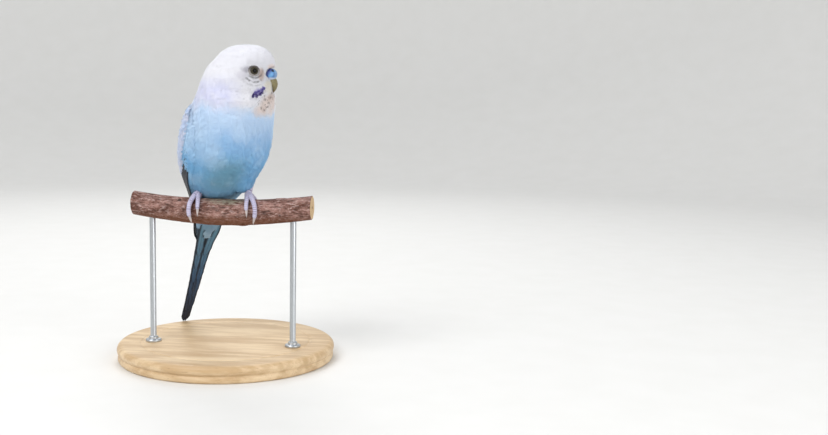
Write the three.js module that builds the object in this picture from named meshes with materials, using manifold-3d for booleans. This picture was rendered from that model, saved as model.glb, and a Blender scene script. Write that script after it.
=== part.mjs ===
// A budgerigar at life size, perched on a short cut length of branch that a plain stand holds.
// Millimetres, +Z up. The origin is the middle of the underside of the base.
// The viewer stands in front, at -Y. The bird faces the viewer's right with its body and
// looks further round to its own left with its head.

import * as THREE from 'three';
import { ParametricGeometry } from 'three/addons/geometries/ParametricGeometry.js';
import { mergeVertices } from 'three/addons/utils/BufferGeometryUtils.js';
import Module from 'manifold-3d';

const wasm = await Module();
wasm.setup();

// Stand and perch
const GAP = 0.3;
const BASE = { radius: 58, thickness: 9, bevel: 1.6, sides: 34 };
const PERCH = {
	halfLength: 48, height: 80, forward: 9, radius: 6.4, sag: 0.0016,
	swelling: 0.75, swellingReach: 25, knobs: 0.14, knobTwist: 0.11,
};
const PERCH_AROUND = 13;
const PERCH_ALONG = 13;
const ROD = { radius: 1.6, foot: 4.2, footHeight: 1.4, apart: 38, depthInPerch: 5, sides: 14 };

// Body: a straight axis from the tail's tip to the middle of the head
const LEAN = THREE.MathUtils.degToRad( 60 );
const HEADING = THREE.MathUtils.degToRad( 38 );
const WAIST = new THREE.Vector3( 1.9, 1.5, 37.8 );
const TAIL_TIP = - 121;
const NECK_TOP = 53;
const BODY_AROUND = 22;
const BODY_ALONG = 29;

// Sizes across the body at places along its axis, counted from the waist towards the head:
// place, half width, depth to the belly side, depth to the back, shift to the bird's left
const BODY_SIZES = [
	[ - 121, 2.6, 0.55, 0.55, 0 ],
	[ - 112, 2.8, 0.6, 0.6, 0.3 ],
	[ - 96, 3.4, 0.75, 0.8, 0.6 ],
	[ - 80, 4.0, 0.95, 1.1, 0.6 ],
	[ - 67, 4.9, 1.9, 2.0, 0.6 ],
	[ - 56, 6.4, 4.2, 3.6, 0.6 ],
	[ - 46, 8.3, 6.2, 5.6, 0.4 ],
	[ - 37, 11.4, 7.8, 8.4, 0 ],
	[ - 28, 15.8, 13.0, 11.2, 0 ],
	[ - 19, 19.6, 18.4, 13.6, 0 ],
	[ - 8, 22.6, 21.8, 15.7, 0 ],
	[ 4, 23.3, 22.4, 16.7, 0 ],
	[ 14, 22.4, 20.8, 16.8, - 0.4 ],
	[ 24, 21.0, 17.8, 15.8, - 0.3 ],
	[ 29, 19.9, 16.2, 14.6, - 0.7 ],
	[ 34, 18.0, 13.6, 13.0, - 2.0 ],
	[ 41, 14.5, 9.6, 11.2, - 4.4 ],
	[ 53, 10.5, 4.5, 8.0, - 4.8 ],
];
// Between these places the sections turn from square across the axis to level with the head
const NECK_TURN = { from: 15, to: 36 };
const TAIL_CAP = 5;
const NECK_CAP = 10;

// Cuts across the axis that part the nodes
const CUT = { end: - 130, tail: - 46, trunk: 12, neck: 25, crown: 90 };
const SLAB_SIZE = 300;

// Head: its long axis runs from the nape to the face
const HEAD = {
	at: 37, heading: THREE.MathUtils.degToRad( 100 ), halfLength: 16.7, forward: 0.2,
	crown: 17.4, throat: 15, halfWidth: 13.4, crownShift: 0.18,
};
// How squarely the head's height and the width of its face fall away towards the ends,
// and how much of their width the cheeks keep
const HEAD_ENDS = { height: 2.5, width: 1.7, rounding: 0.85, cheeks: 0.8 };
const HEAD_AROUND = 20;
const HEAD_ALONG = 13;
const EYE = { radius: 3.0, inset: 3.3, opening: 2.2, place: new THREE.Vector3( 7.8, 11.5, 4.2 ) };
const EYE_FACING = new THREE.Vector3( 0.42, 0.89, 0.14 ).normalize();
// The plumage stands back in a hollow before the bill and in a groove beside the cere,
// which sits on the bill's root
const FACE_HOLLOWS = [
	{ middle: new THREE.Vector3( 19.6, 0, - 2.6 ), radii: new THREE.Vector3( 4.4, 7.0, 5.6 ) },
	{ middle: new THREE.Vector3( 16.6, 0, 2.9 ), radii: new THREE.Vector3( 4.2, 14, 3.3 ) },
];
const CERE = { middle: new THREE.Vector3( 14.6, 0, 2.8 ), radii: new THREE.Vector3( 3.7, 5.0, 2.9 ) };
const BILL_UPPER = { line: [ [ 12.8, - 0.2 ], [ 15.7, - 1.0 ], [ 16.5, - 3.4 ], [ 16.3, - 6.3 ] ], root: 2.9, tip: 0.45 };
const BILL_TAPER = 1.6;
const BILL_LOWER = { line: [ [ 12.2, - 4.2 ], [ 14.2, - 5.4 ], [ 15.6, - 5.2 ] ], root: 2.5, tip: 1.2 };

// Wings: folded along the flanks, from the bend of the wing to the tips over the tail.
// Place along the axis, angle round the body of the lower edge and of the upper edge
// (0 is the belly, 180 the middle of the back), thickness
const WING_SIZES = [
	[ 19, 96, 118, 1.4 ],
	[ 12, 85, 146, 1.7 ],
	[ 0, 80, 166, 1.7 ],
	[ - 12, 83, 172, 1.7 ],
	[ - 24, 94, 175, 1.8 ],
	[ - 38, 103, 176, 1.8 ],
	[ - 52, 104, 176, 1.5 ],
	[ - 62, 112, 174, 1.1 ],
	[ - 69, 136, 168, 0.8 ],
];
const WING_AROUND = 14;
const WING_ALONG = 17;
// How squarely a wing's ends close, and how far its inner face dips into the body
const WING_ENDS = 0.3;
const WING_DIP = 0.4;

// Legs and feet, beside the middle of the perch
const FOOT_APART = { left: 13.9, right: - 12.9 };
const FOOT_SWING = 1.4;
const SHANK_FOOT = 0.4;
const THIGH = { radii: new THREE.Vector3( 8.4, 8.0, 10 ), inward: 4.6, back: 2.2, rise: 20 };
const ANKLE = { radius: 1.5, back: 6.2, rise: 20 };
const FOOT_PAD = { radii: new THREE.Vector3( 2.7, 2.9, 1.7 ), rise: 9.0 };
const TOE_CLEARANCE = 0.35;
// Toes spread to their bow over the first part of their way; near the pad they stand off the perch
const TOE_STEPS = 4;
const TOE_SPREAD = 0.6;
const TOE_ROOT = { lift: 1.1, part: 3 };
// A toe thins by its taper towards the claw, with slight swellings at the joints
const TOE_SHAPE = { taper: 0.22, joints: 0.06, spacing: 19 };
// Angle left free between toe and claw, and the claw's sizes as parts of the toe's radius
const CLAW = { after: 3.4, height: 0.72, root: 0.56, tip: 0.26 };
// Angle reached round the perch by the toe and then by its claw, sideways bow, radius
const TOES = {
	front_outer: { toe: 104, claw: 140, bow: 4.2, end: 3.0, radius: 1.45 },
	front_inner: { toe: 76, claw: 106, bow: - 0.5, end: - 0.3, radius: 1.35 },
	back_outer: { toe: - 84, claw: - 118, bow: 3.6, end: 3.2, radius: 1.35 },
	back_inner: { toe: - 56, claw: - 86, bow: - 1.8, end: - 2.2, radius: 1.2 },
};

const COLOURS = {
	white: [ 0xeeeef2, 0.85, 0 ],
	blue: [ 0x8fc3e6, 0.85, 0 ],
	wing: [ 0xd9dde2, 0.8, 0 ],
	tail: [ 0x41688a, 0.7, 0 ],
	skin: [ 0xc2bac8, 0.6, 0 ],
	claw: [ 0xa89c98, 0.45, 0 ],
	bill: [ 0x8f8a5c, 0.4, 0 ],
	cere: [ 0x4f8fce, 0.5, 0 ],
	eye: [ 0x12100e, 0.1, 0 ],
	bark: [ 0x7d5c4e, 0.9, 0 ],
	base: [ 0xc9a77c, 0.55, 0 ],
	steel: [ 0xb8bcc0, 0.3, 1 ],
};

// The body's own directions
const headingLine = new THREE.Vector3( Math.sin( HEADING ), - Math.cos( HEADING ), 0 );
const axis = headingLine.clone().multiplyScalar( Math.cos( LEAN ) );
axis.z = Math.sin( LEAN );
const belly = headingLine.clone().multiplyScalar( Math.sin( LEAN ) );
belly.z = - Math.cos( LEAN );
const leftSide = new THREE.Vector3( - headingLine.y, headingLine.x, 0 );
const perchMiddle = new THREE.Vector3( 0, - PERCH.forward, PERCH.height );

// The head's own directions
const faceLine = new THREE.Vector3( Math.sin( HEAD.heading ), - Math.cos( HEAD.heading ), 0 );
const headLeft = new THREE.Vector3( - faceLine.y, faceLine.x, 0 );
const headRight = headLeft.clone().negate();
const up = new THREE.Vector3( 0, 0, 1 );

// Interpolates a table whose rows start with the place they hold for
function table( rows ) {

	const upwards = [ ...rows ].sort( ( a, b ) => a[ 0 ] - b[ 0 ] );
	const places = upwards.map( ( row ) => row[ 0 ] );
	const values = upwards.flatMap( ( row ) => row.slice( 1 ) );
	const curve = new THREE.CubicInterpolant( places, values, rows[ 0 ].length - 1 );
	return ( place ) => Array.from( curve.evaluate( place ) );

}

// A closed surface from a function of the angle around and of the way along, both 0 to 1
function loft( point, around, along ) {

	return new ParametricGeometry( ( u, v, target ) => point( u * 2 * Math.PI, v, target ), around, along );

}

// A closed mesh becomes a solid, with its faces turned outwards
function solid( geometry ) {

	const bare = geometry.clone();
	bare.deleteAttribute( 'normal' );
	bare.deleteAttribute( 'uv' );
	const merged = mergeVertices( bare, 1e-4 );
	const position = merged.attributes.position;
	const corners = [ 0, 1, 2 ].map( () => new THREE.Vector3() );
	const triangles = [];
	let volume = 0;
	for ( let i = 0; i < merged.index.count; i += 3 ) {

		const face = [ 0, 1, 2 ].map( ( k ) => merged.index.getX( i + k ) );
		if ( new Set( face ).size < 3 ) continue;
		face.forEach( ( vertex, k ) => corners[ k ].fromBufferAttribute( position, vertex ) );
		volume += corners[ 0 ].dot( corners[ 1 ].clone().cross( corners[ 2 ] ) );
		triangles.push( face );

	}

	if ( volume < 0 ) triangles.forEach( ( face ) => face.reverse() );
	return new wasm.Manifold( new wasm.Mesh( {
		numProp: 3,
		vertProperties: Float32Array.from( position.array ),
		triVerts: Uint32Array.from( triangles.flat() ),
	} ) );

}

function material( [ color, roughness, metalness ] ) {

	return new THREE.MeshStandardMaterial( { color, roughness, metalness } );

}

function node( name, shape, colour ) {

	const { vertProperties, triVerts } = shape.getMesh();
	const geometry = new THREE.BufferGeometry();
	geometry.setAttribute( 'position', new THREE.BufferAttribute( vertProperties, 3 ) );
	geometry.setIndex( new THREE.BufferAttribute( triVerts, 1 ) );
	geometry.computeVertexNormals();
	const mesh = new THREE.Mesh( geometry, material( colour ) );
	mesh.name = name;
	return mesh;

}

function alongAxis( place ) {

	return perchMiddle.clone().add( WAIST ).addScaledVector( axis, place );

}

// Rounds an end off: 0 at the end itself, 1 once the cap's length is passed
function rounded( distance, cap ) {

	const left = 1 - THREE.MathUtils.clamp( distance / cap, 0, 1 );
	return Math.sqrt( 1 - left * left );

}

// Body, neck and tail as one form
const bodySizes = table( BODY_SIZES );

function bodyPoint( angle, place, grow, target ) {

	const [ wide, front, back, shift ] = bodySizes( place );
	const side = Math.sin( angle ) * ( wide + grow );
	const depth = Math.cos( angle ) * ( ( Math.cos( angle ) > 0 ? front : back ) + grow );
	const closing = rounded( place - TAIL_TIP, TAIL_CAP ) * rounded( NECK_TOP - place, NECK_CAP );
	const turned = THREE.MathUtils.smoothstep( place, NECK_TURN.from, NECK_TURN.to );
	const sideLine = leftSide.clone().lerp( faceLine, turned ).normalize();
	const depthLine = belly.clone().lerp( headRight, turned ).normalize();
	target.copy( alongAxis( place ) );
	target.addScaledVector( sideLine, shift + side * closing ).addScaledVector( depthLine, depth * closing );

}

// Closer steps at both ends, where the form rounds off
function bodyPlace( way ) {

	const eased = 0.4 * way + 0.3 * ( 1 - Math.cos( Math.PI * way ) );
	return THREE.MathUtils.lerp( TAIL_TIP, NECK_TOP, eased );

}

function bodyForm( grow = 0 ) {

	return solid( loft( ( angle, way, target ) => bodyPoint( angle, bodyPlace( way ), grow, target ),
		BODY_AROUND, BODY_ALONG ) );

}

// Head
const headMiddle = alongAxis( HEAD.at );

function inHead( forward, side, rise ) {

	return headMiddle.clone().addScaledVector( faceLine, forward )
		.addScaledVector( headLeft, side ).addScaledVector( up, rise );

}

function headPoint( angle, way, target ) {

	const reach = - Math.cos( Math.PI * way );
	const tall = Math.pow( 1 - Math.pow( Math.abs( reach ), HEAD_ENDS.height ), 1 / HEAD_ENDS.height );
	const slim = reach > 0 ? Math.pow( 1 - Math.pow( reach, HEAD_ENDS.width ), HEAD_ENDS.rounding ) : tall;
	const low = Math.max( 0, - Math.cos( angle ) ) * HEAD_ENDS.cheeks;
	const wide = THREE.MathUtils.lerp( slim, tall, low ) * HEAD.halfWidth;
	const height = Math.cos( angle ) > 0 ? HEAD.crown : HEAD.throat;
	const rise = Math.cos( angle ) * height * tall;
	const forward = HEAD.forward + reach * HEAD.halfLength + HEAD.crownShift * Math.max( 0, rise );
	target.copy( inHead( forward, Math.sin( angle ) * wide, rise ) );

}

function headForm() {

	return solid( loft( headPoint, HEAD_AROUND, HEAD_ALONG ) );

}

// An ellipsoid in the head's own directions
function headBall( middle, radii, around, along ) {

	return solid( loft( ( angle, way, target ) => {

		const ring = Math.sin( Math.PI * way );
		target.copy( inHead( middle.x + radii.x * Math.cos( Math.PI * way ),
			middle.y + radii.y * ring * Math.sin( angle ), middle.z + radii.z * ring * Math.cos( angle ) ) );

	}, around, along ) );

}

function eyeMiddle( side ) {

	const middle = EYE.place.clone().addScaledVector( EYE_FACING, - EYE.inset );
	return new THREE.Vector3( middle.x, side * middle.y, middle.z );

}

function eyeBall( side, grow = 0 ) {

	const radius = EYE.radius + grow;
	return headBall( eyeMiddle( side ), new THREE.Vector3( radius, radius, radius ), 10, 8 );

}

// The opening between the lids, a short round channel out of the socket
function lidOpening( side ) {

	const start = eyeMiddle( side );
	const outward = new THREE.Vector3( EYE_FACING.x, side * EYE_FACING.y, EYE_FACING.z );
	const end = start.clone().addScaledVector( outward, EYE.inset * 2 );
	return taperedTube( [ inHead( ...start ), inHead( ...end ) ], () => EYE.opening, 14, 1 );

}

// A tube with flat closed ends along a curve through points, its radius a function of the way along
function taperedTube( points, radius, around, along ) {

	const curve = new THREE.CatmullRomCurve3( points );
	const steps = along + 2;
	const across = new THREE.Vector3();
	const over = new THREE.Vector3();
	const first = curve.getTangent( 0 );
	const guide = Math.abs( first.x ) < 0.8 ? new THREE.Vector3( 1, 0, 0 ) : new THREE.Vector3( 0, 1, 0 );
	return solid( loft( ( angle, way, target ) => {

		const step = Math.round( way * steps );
		const open = THREE.MathUtils.clamp( Math.min( step, steps - step ), 0, 1 );
		const place = THREE.MathUtils.clamp( ( step - 1 ) / along, 0, 1 );
		const tangent = curve.getTangent( place );
		across.copy( guide ).addScaledVector( tangent, - guide.dot( tangent ) ).normalize();
		over.crossVectors( tangent, across );
		const size = radius( place ) * open;
		target.copy( curve.getPoint( place ) );
		target.addScaledVector( across, Math.sin( angle ) * size );
		target.addScaledVector( over, Math.cos( angle ) * size );

	}, around, steps ) );

}

// Bill: the upper half hooks over the lower one
function billHalf( { line, root, tip }, grow = 0 ) {

	const points = line.map( ( [ forward, rise ] ) => inHead( forward, 0, rise ) );
	return taperedTube( points, ( way ) => THREE.MathUtils.lerp( root, tip, way ** BILL_TAPER ) + grow, 12, 6 );

}

function cere( grow = 0 ) {

	return headBall( CERE.middle, CERE.radii.clone().addScalar( grow ), 12, 7 );

}

// Wings
const wingSizes = table( WING_SIZES );

function wingForm( side ) {

	const shoulder = WING_SIZES[ 0 ][ 0 ];
	const tip = WING_SIZES[ WING_SIZES.length - 1 ][ 0 ];
	return solid( loft( ( angle, way, target ) => {

		const place = THREE.MathUtils.lerp( shoulder, tip, 0.5 * way + 0.25 * ( 1 - Math.cos( Math.PI * way ) ) );
		const [ lower, upper, thick ] = wingSizes( place );
		const closing = Math.pow( Math.max( 0, Math.sin( Math.PI * way ) ), WING_ENDS ) * ( way > 0 && way < 1 ? 1 : 0 );
		const middle = ( lower + upper ) / 2;
		const spread = ( upper - lower ) / 2 * Math.cos( angle ) * closing;
		const turn = side * THREE.MathUtils.degToRad( middle + spread );
		const fullness = Math.sqrt( Math.abs( Math.sin( angle ) ) ) * closing;
		bodyPoint( turn, place, Math.sin( angle ) > 0 ? ( GAP + thick ) * fullness : 0, target );
		if ( Math.sin( angle ) < 0 ) target.lerp( alongAxis( place ), WING_DIP * fullness );

	}, WING_AROUND, WING_ALONG ) );

}

// Perch
function perchRadius( x ) {

	return PERCH.radius + PERCH.swelling * Math.exp( - ( ( x / PERCH.swellingReach ) ** 2 ) );

}

function perchRise( x ) {

	return PERCH.sag * x * x;

}

function onPerch( x, angle, clearance ) {

	const radius = perchRadius( x ) + clearance;
	return perchMiddle.clone().add( new THREE.Vector3( x, - radius * Math.sin( angle ),
		perchRise( x ) + radius * Math.cos( angle ) ) );

}

function perchForm( grow = 0 ) {

	const steps = PERCH_ALONG + 2;
	return solid( loft( ( angle, way, target ) => {

		const step = Math.round( way * steps );
		const open = Math.min( step, steps - step ) > 0 ? 1 : 0;
		const x = PERCH.halfLength * ( 2 * THREE.MathUtils.clamp( ( step - 1 ) / PERCH_ALONG, 0, 1 ) - 1 );
		const bark = PERCH.knobs * Math.sin( 3 * angle + x * PERCH.knobTwist );
		target.copy( onPerch( x, angle, bark + grow ) );
		target.lerp( perchMiddle.clone().add( new THREE.Vector3( x, 0, perchRise( x ) ) ), 1 - open );

	}, PERCH_AROUND, steps ) );

}

// Feet: two toes reach over the front of the perch and two over the back
function toeLine( side, name, from, to, radius ) {

	const { toe, claw, bow, end } = TOES[ name ];
	const points = [];
	const middle = side > 0 ? FOOT_APART.left : FOOT_APART.right;
	for ( let i = 0; i <= TOE_STEPS; i ++ ) {

		const reach = THREE.MathUtils.lerp( from, to, i / TOE_STEPS );
		const way = Math.abs( reach / claw );
		const bowed = bow * Math.sin( Math.min( 1, way / TOE_SPREAD ) * Math.PI / 2 );
		const sideways = THREE.MathUtils.lerp( bowed, end, THREE.MathUtils.smoothstep( way, TOE_SPREAD, 1 ) );
		const swing = FOOT_SWING * Math.sin( THREE.MathUtils.degToRad( reach ) );
		const lift = TOE_ROOT.lift * Math.max( 0, 1 - Math.abs( reach / toe ) * TOE_ROOT.part );
		points.push( onPerch( middle + side * sideways + swing, THREE.MathUtils.degToRad( reach ),
			radius + lift + TOE_CLEARANCE ) );

	}

	return points;

}

function toeForm( side, name, grow = 0 ) {

	const { toe, radius } = TOES[ name ];
	const points = toeLine( side, name, 0, toe, radius );
	return taperedTube( points, ( way ) => radius * ( 1 - TOE_SHAPE.taper * way
		+ TOE_SHAPE.joints * Math.sin( way * TOE_SHAPE.spacing ) ) + grow, 8, TOE_STEPS );

}

function clawForm( side, name, grow = 0 ) {

	const { toe, claw, radius } = TOES[ name ];
	const points = toeLine( side, name, toe + Math.sign( toe ) * CLAW.after, claw, radius * CLAW.height );
	return taperedTube( points, ( way ) => THREE.MathUtils.lerp( radius * CLAW.root, CLAW.tip, way ) + grow, 6, 3 );

}

// An ellipsoid in the world's directions
function ball( middle, radii, around, along ) {

	const geometry = new THREE.SphereGeometry( 1, around, along );
	geometry.scale( radii.x, radii.y, radii.z );
	geometry.translate( middle.x, middle.y, middle.z );
	return solid( geometry );

}

function footForm( side, grow = 0 ) {

	const x = side > 0 ? FOOT_APART.left : FOOT_APART.right;
	const middle = perchMiddle.clone().add( new THREE.Vector3( x, 0, FOOT_PAD.rise + perchRise( x ) ) );
	const pad = ball( middle, FOOT_PAD.radii.clone().addScalar( grow ), 10, 6 );
	return Object.keys( TOES ).reduce( ( foot, name ) => foot.add( toeForm( side, name, grow ) ), pad );

}

function legForm( side, grow = 0 ) {

	const x = side > 0 ? FOOT_APART.left : FOOT_APART.right;
	const hip = new THREE.Vector3( x - side * THIGH.inward, THIGH.back, THIGH.rise );
	const thigh = ball( perchMiddle.clone().add( hip ), THIGH.radii.clone().addScalar( grow ), 12, 8 );
	const ankle = perchMiddle.clone().add( new THREE.Vector3( x, ANKLE.back, ANKLE.rise ) );
	const foot = perchMiddle.clone().add( new THREE.Vector3( x, SHANK_FOOT, FOOT_PAD.rise ) );
	const shank = taperedTube( [ ankle, foot ], () => ANKLE.radius + grow, 10, 2 );
	return thigh.add( shank );

}

// A block that keeps what lies between two places along the body's axis
function slab( from, to ) {

	const geometry = new THREE.BoxGeometry( SLAB_SIZE, SLAB_SIZE, to - from );
	geometry.applyQuaternion( new THREE.Quaternion().setFromUnitVectors( up, axis ) );
	const middle = alongAxis( ( from + to ) / 2 );
	geometry.translate( middle.x, middle.y, middle.z );
	return solid( geometry );

}

// Stand
function baseForm() {

	const { radius, thickness, bevel, sides } = BASE;
	const profile = [ [ 0, 0 ], [ radius - bevel / 2, 0 ], [ radius, bevel / 2 ],
		[ radius, thickness - bevel ], [ radius - bevel * 0.3, thickness - bevel * 0.3 ],
		[ radius - bevel, thickness ], [ 0, thickness ] ];
	return lathe( profile, sides );

}

function rodForm( x ) {

	const top = PERCH.height + perchRise( x ) - perchRadius( x ) + ROD.depthInPerch - GAP;
	const profile = [ [ 0, BASE.thickness ], [ ROD.foot, BASE.thickness ],
		[ ROD.foot, BASE.thickness + ROD.footHeight ], [ ROD.radius, BASE.thickness + 2 * ROD.footHeight ],
		[ ROD.radius, top ], [ 0, top ] ];
	return lathe( profile, ROD.sides ).translate( x, - PERCH.forward, 0 );

}

function rodHole( x ) {

	const top = PERCH.height + perchRise( x ) - perchRadius( x ) + ROD.depthInPerch;
	const radius = ROD.radius + GAP;
	return lathe( [ [ 0, BASE.thickness ], [ radius, BASE.thickness ], [ radius, top ], [ 0, top ] ], ROD.sides )
		.translate( x, - PERCH.forward, 0 );

}

function lathe( profile, sides ) {

	const geometry = new THREE.LatheGeometry( profile.map( ( [ x, y ] ) => new THREE.Vector2( x, y ) ), sides );
	geometry.rotateX( Math.PI / 2 );
	return solid( geometry );

}

// Assembly
const sides = { left: 1, right: - 1 };
const body = bodyForm();
const bodyRoom = bodyForm( GAP );
const legRooms = Object.values( sides ).map( ( side ) => legForm( side, GAP ) );
const footRooms = Object.values( sides ).flatMap( ( side ) => [ footForm( side, GAP ),
	...Object.keys( TOES ).map( ( toe ) => clawForm( side, toe, GAP ) ) ] );

function without( shape, others ) {

	return others.reduce( ( rest, other ) => rest.subtract( other ), shape );

}

const perchRoom = perchForm( GAP );
const flesh = without( body, [ ...legRooms, ...footRooms, perchRoom ] );
const faceCuts = [ billHalf( BILL_UPPER, GAP ), billHalf( BILL_LOWER ), billHalf( BILL_LOWER, GAP ), cere( GAP ),
	...FACE_HOLLOWS.map( ( { middle, radii } ) => headBall( middle, radii, 9, 6 ) ) ];
for ( const side of Object.values( sides ) ) faceCuts.push( eyeBall( side, GAP ), lidOpening( side ) );
const half = GAP / 2;

const model = new THREE.Group();
model.add(
	node( 'head', without( body.add( headForm() ).intersect( slab( CUT.neck + half, CUT.crown ) ), faceCuts ), COLOURS.white ),
	node( 'neck', body.add( headForm() ).intersect( slab( CUT.trunk + half, CUT.neck - half ) ), COLOURS.white ),
	node( 'trunk', flesh.intersect( slab( CUT.tail + half, CUT.trunk - half ) ), COLOURS.blue ),
	node( 'tail', flesh.intersect( slab( CUT.end, CUT.tail - half ) ), COLOURS.tail ),
	node( 'bill_upper', without( billHalf( BILL_UPPER ), [ cere( GAP ) ] ), COLOURS.bill ),
	node( 'bill_lower', without( billHalf( BILL_LOWER ), [ billHalf( BILL_UPPER ), billHalf( BILL_UPPER, GAP ), cere( GAP ) ] ), COLOURS.bill ),
	node( 'cere', cere(), COLOURS.cere ),
	node( 'perch', without( perchForm(), [ rodHole( - ROD.apart ), rodHole( ROD.apart ) ] ), COLOURS.bark ),
	node( 'stand_base', baseForm(), COLOURS.base ),
);

for ( const [ name, side ] of Object.entries( sides ) ) {

	const foot = footForm( side );
	model.add(
		node( `eye_${ name }`, eyeBall( side ), COLOURS.eye ),
		node( `wing_${ name }`, without( wingForm( side ), [ bodyRoom, ...legRooms, ...footRooms, perchRoom ] ), COLOURS.wing ),
		node( `leg_${ name }`, without( legForm( side ), [ footForm( side, GAP ), perchRoom ] ), COLOURS.blue ),
		node( `foot_${ name }`, foot, COLOURS.skin ),
		node( `stand_rod_${ name }`, rodForm( side * ROD.apart ), COLOURS.steel ),
	);
	for ( const toe of Object.keys( TOES ) )
		model.add( node( `claw_${ name }_${ toe }`, clawForm( side, toe ), COLOURS.claw ) );

}

export default model;
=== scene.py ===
"""A budgerigar on a short cut branch, feathered over the solids of the frame it stands in."""

import math

import bmesh
import bpy
import numpy as np
from mathutils import Matrix, Vector, noise
from mathutils.bvhtree import BVHTree


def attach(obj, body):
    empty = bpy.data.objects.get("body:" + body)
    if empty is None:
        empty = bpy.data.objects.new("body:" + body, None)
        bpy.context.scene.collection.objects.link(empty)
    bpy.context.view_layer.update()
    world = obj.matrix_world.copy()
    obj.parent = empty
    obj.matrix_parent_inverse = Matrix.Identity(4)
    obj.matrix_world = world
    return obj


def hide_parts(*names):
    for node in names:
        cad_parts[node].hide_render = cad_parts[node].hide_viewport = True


bl_info = {
    "name": "Feathered budgerigar",
    "version": (1, 0, 0),
    "blender": (4, 5, 0),
    "location": "3D View > Sidebar > Budgerigar",
    "description": "Skin, coat, bill, eyes and feet of a budgerigar, with its perch and stand",
    "category": "Object",
}

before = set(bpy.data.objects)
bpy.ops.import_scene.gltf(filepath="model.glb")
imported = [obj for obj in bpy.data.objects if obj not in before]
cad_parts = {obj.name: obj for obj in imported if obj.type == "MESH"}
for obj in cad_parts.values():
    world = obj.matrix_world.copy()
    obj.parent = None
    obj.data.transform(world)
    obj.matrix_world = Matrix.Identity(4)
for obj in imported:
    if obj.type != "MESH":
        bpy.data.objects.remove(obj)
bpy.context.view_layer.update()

MM = 0.001
SIDES = {"left": 1, "right": -1}
UP = np.array((0, 0, 1.0))
RIGHT = np.array((1.0, 0, 0))

# The bird's own directions, as the solids have them
LEAN = math.radians(60)
HEADING = math.radians(38)
HEAD_HEADING = math.radians(100)
PERCH_MIDDLE = np.array((0, -9, 80)) * MM
WAIST = PERCH_MIDDLE + np.array((1.9, 1.5, 37.8)) * MM
HEAD_AT = 37 * MM


def level(heading):
    return np.array((math.sin(heading), -math.cos(heading), 0))


AXIS = level(HEADING) * math.cos(LEAN) + UP * math.sin(LEAN)
BELLY = level(HEADING) * math.sin(LEAN) - UP * math.cos(LEAN)
LEFT = level(HEADING + math.pi / 2)
FACE = level(HEAD_HEADING)
HEAD_LEFT = level(HEAD_HEADING + math.pi / 2)
HEAD_MIDDLE = WAIST + AXIS * HEAD_AT

# The head's features, in millimetres forward, to a side and up from the head's middle
EYE_PLACE = np.array((7.8, 11.5, 4.2))
EYE_FACING = np.array((0.42, 0.89, 0.14)) / np.linalg.norm((0.42, 0.89, 0.14))
EYE_INSET = 3.3
EYE_RADIUS = 3.0
PUPIL_RADIUS = 1.12
IRIS_RADIUS = 2.0
BILL_ROOT = np.array((13.0, 0.0, -0.5))
CERE_MIDDLE = np.array((14.6, 0.0, 2.8))
CERE_RADII = np.array((3.75, 5.1, 2.95))
NOSTRIL = np.array((16.1, 3.5, 4.3))

# Perch, as its solid has it, in millimetres
PERCH_HALF_LENGTH = 48
PERCH_RADIUS = 6.4
PERCH_SWELLING = 0.75
PERCH_SWELLING_REACH = 25
PERCH_SAG = 0.0016

# Feet: angle reached round the perch by each toe and by its claw, sideways bow, radius
FOOT_APART = {"left": 13.9, "right": -12.9}
FOOT_SWING = 1.4
FOOT_PAD_RISE = 9.0
TOE_CLEARANCE = 0.35
TOE_SPREAD = 0.6
TOE_LIFT = 1.1
TOES = {
    "front_outer": {"toe": 104, "claw": 140, "bow": 4.2, "end": 3.0, "radius": 1.45},
    "front_inner": {"toe": 76, "claw": 106, "bow": -0.5, "end": -0.3, "radius": 1.35},
    "back_outer": {"toe": -84, "claw": -118, "bow": 3.6, "end": 3.2, "radius": 1.35},
    "back_inner": {"toe": -56, "claw": -86, "bow": -1.8, "end": -2.2, "radius": 1.2},
}


def srgb(red, green, blue):
    """A colour given 0 to 255, as the linear one that materials use."""
    parts = [x / 255 for x in (red, green, blue)]
    return (*[x / 12.92 if x <= 0.04045 else ((x + 0.055) / 1.055) ** 2.4 for x in parts], 1)


def unit(vectors):
    length = np.linalg.norm(vectors, axis=-1, keepdims=True)
    return vectors / np.maximum(length, 1e-12)


def smooth(x, low, high):
    """Rises from 0 at low to 1 at high, with soft ends; low may be the greater."""
    t = np.clip((np.asarray(x, float) - low) / (high - low), 0, 1)
    return t * t * (3 - 2 * t)


def in_head(forward, side, rise):
    """A point, or points, from millimetres in the head's own directions."""
    parts = [np.asarray(x, float)[..., None] * MM for x in (forward, side, rise)]
    return HEAD_MIDDLE + parts[0] * FACE + parts[1] * HEAD_LEFT + parts[2] * UP


def head_places(points):
    """Forward, side and rise of points in the head's own directions, in millimetres."""
    offset = (points - HEAD_MIDDLE) / MM
    return offset @ FACE, offset @ HEAD_LEFT, offset[..., 2]


def body_places(points):
    """Place along the body's axis in millimetres, and angle round it: 0 belly, 180 back."""
    offset = (points - WAIST) / MM
    return offset @ AXIS, np.degrees(np.arctan2(offset @ LEFT, offset @ BELLY))


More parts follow.
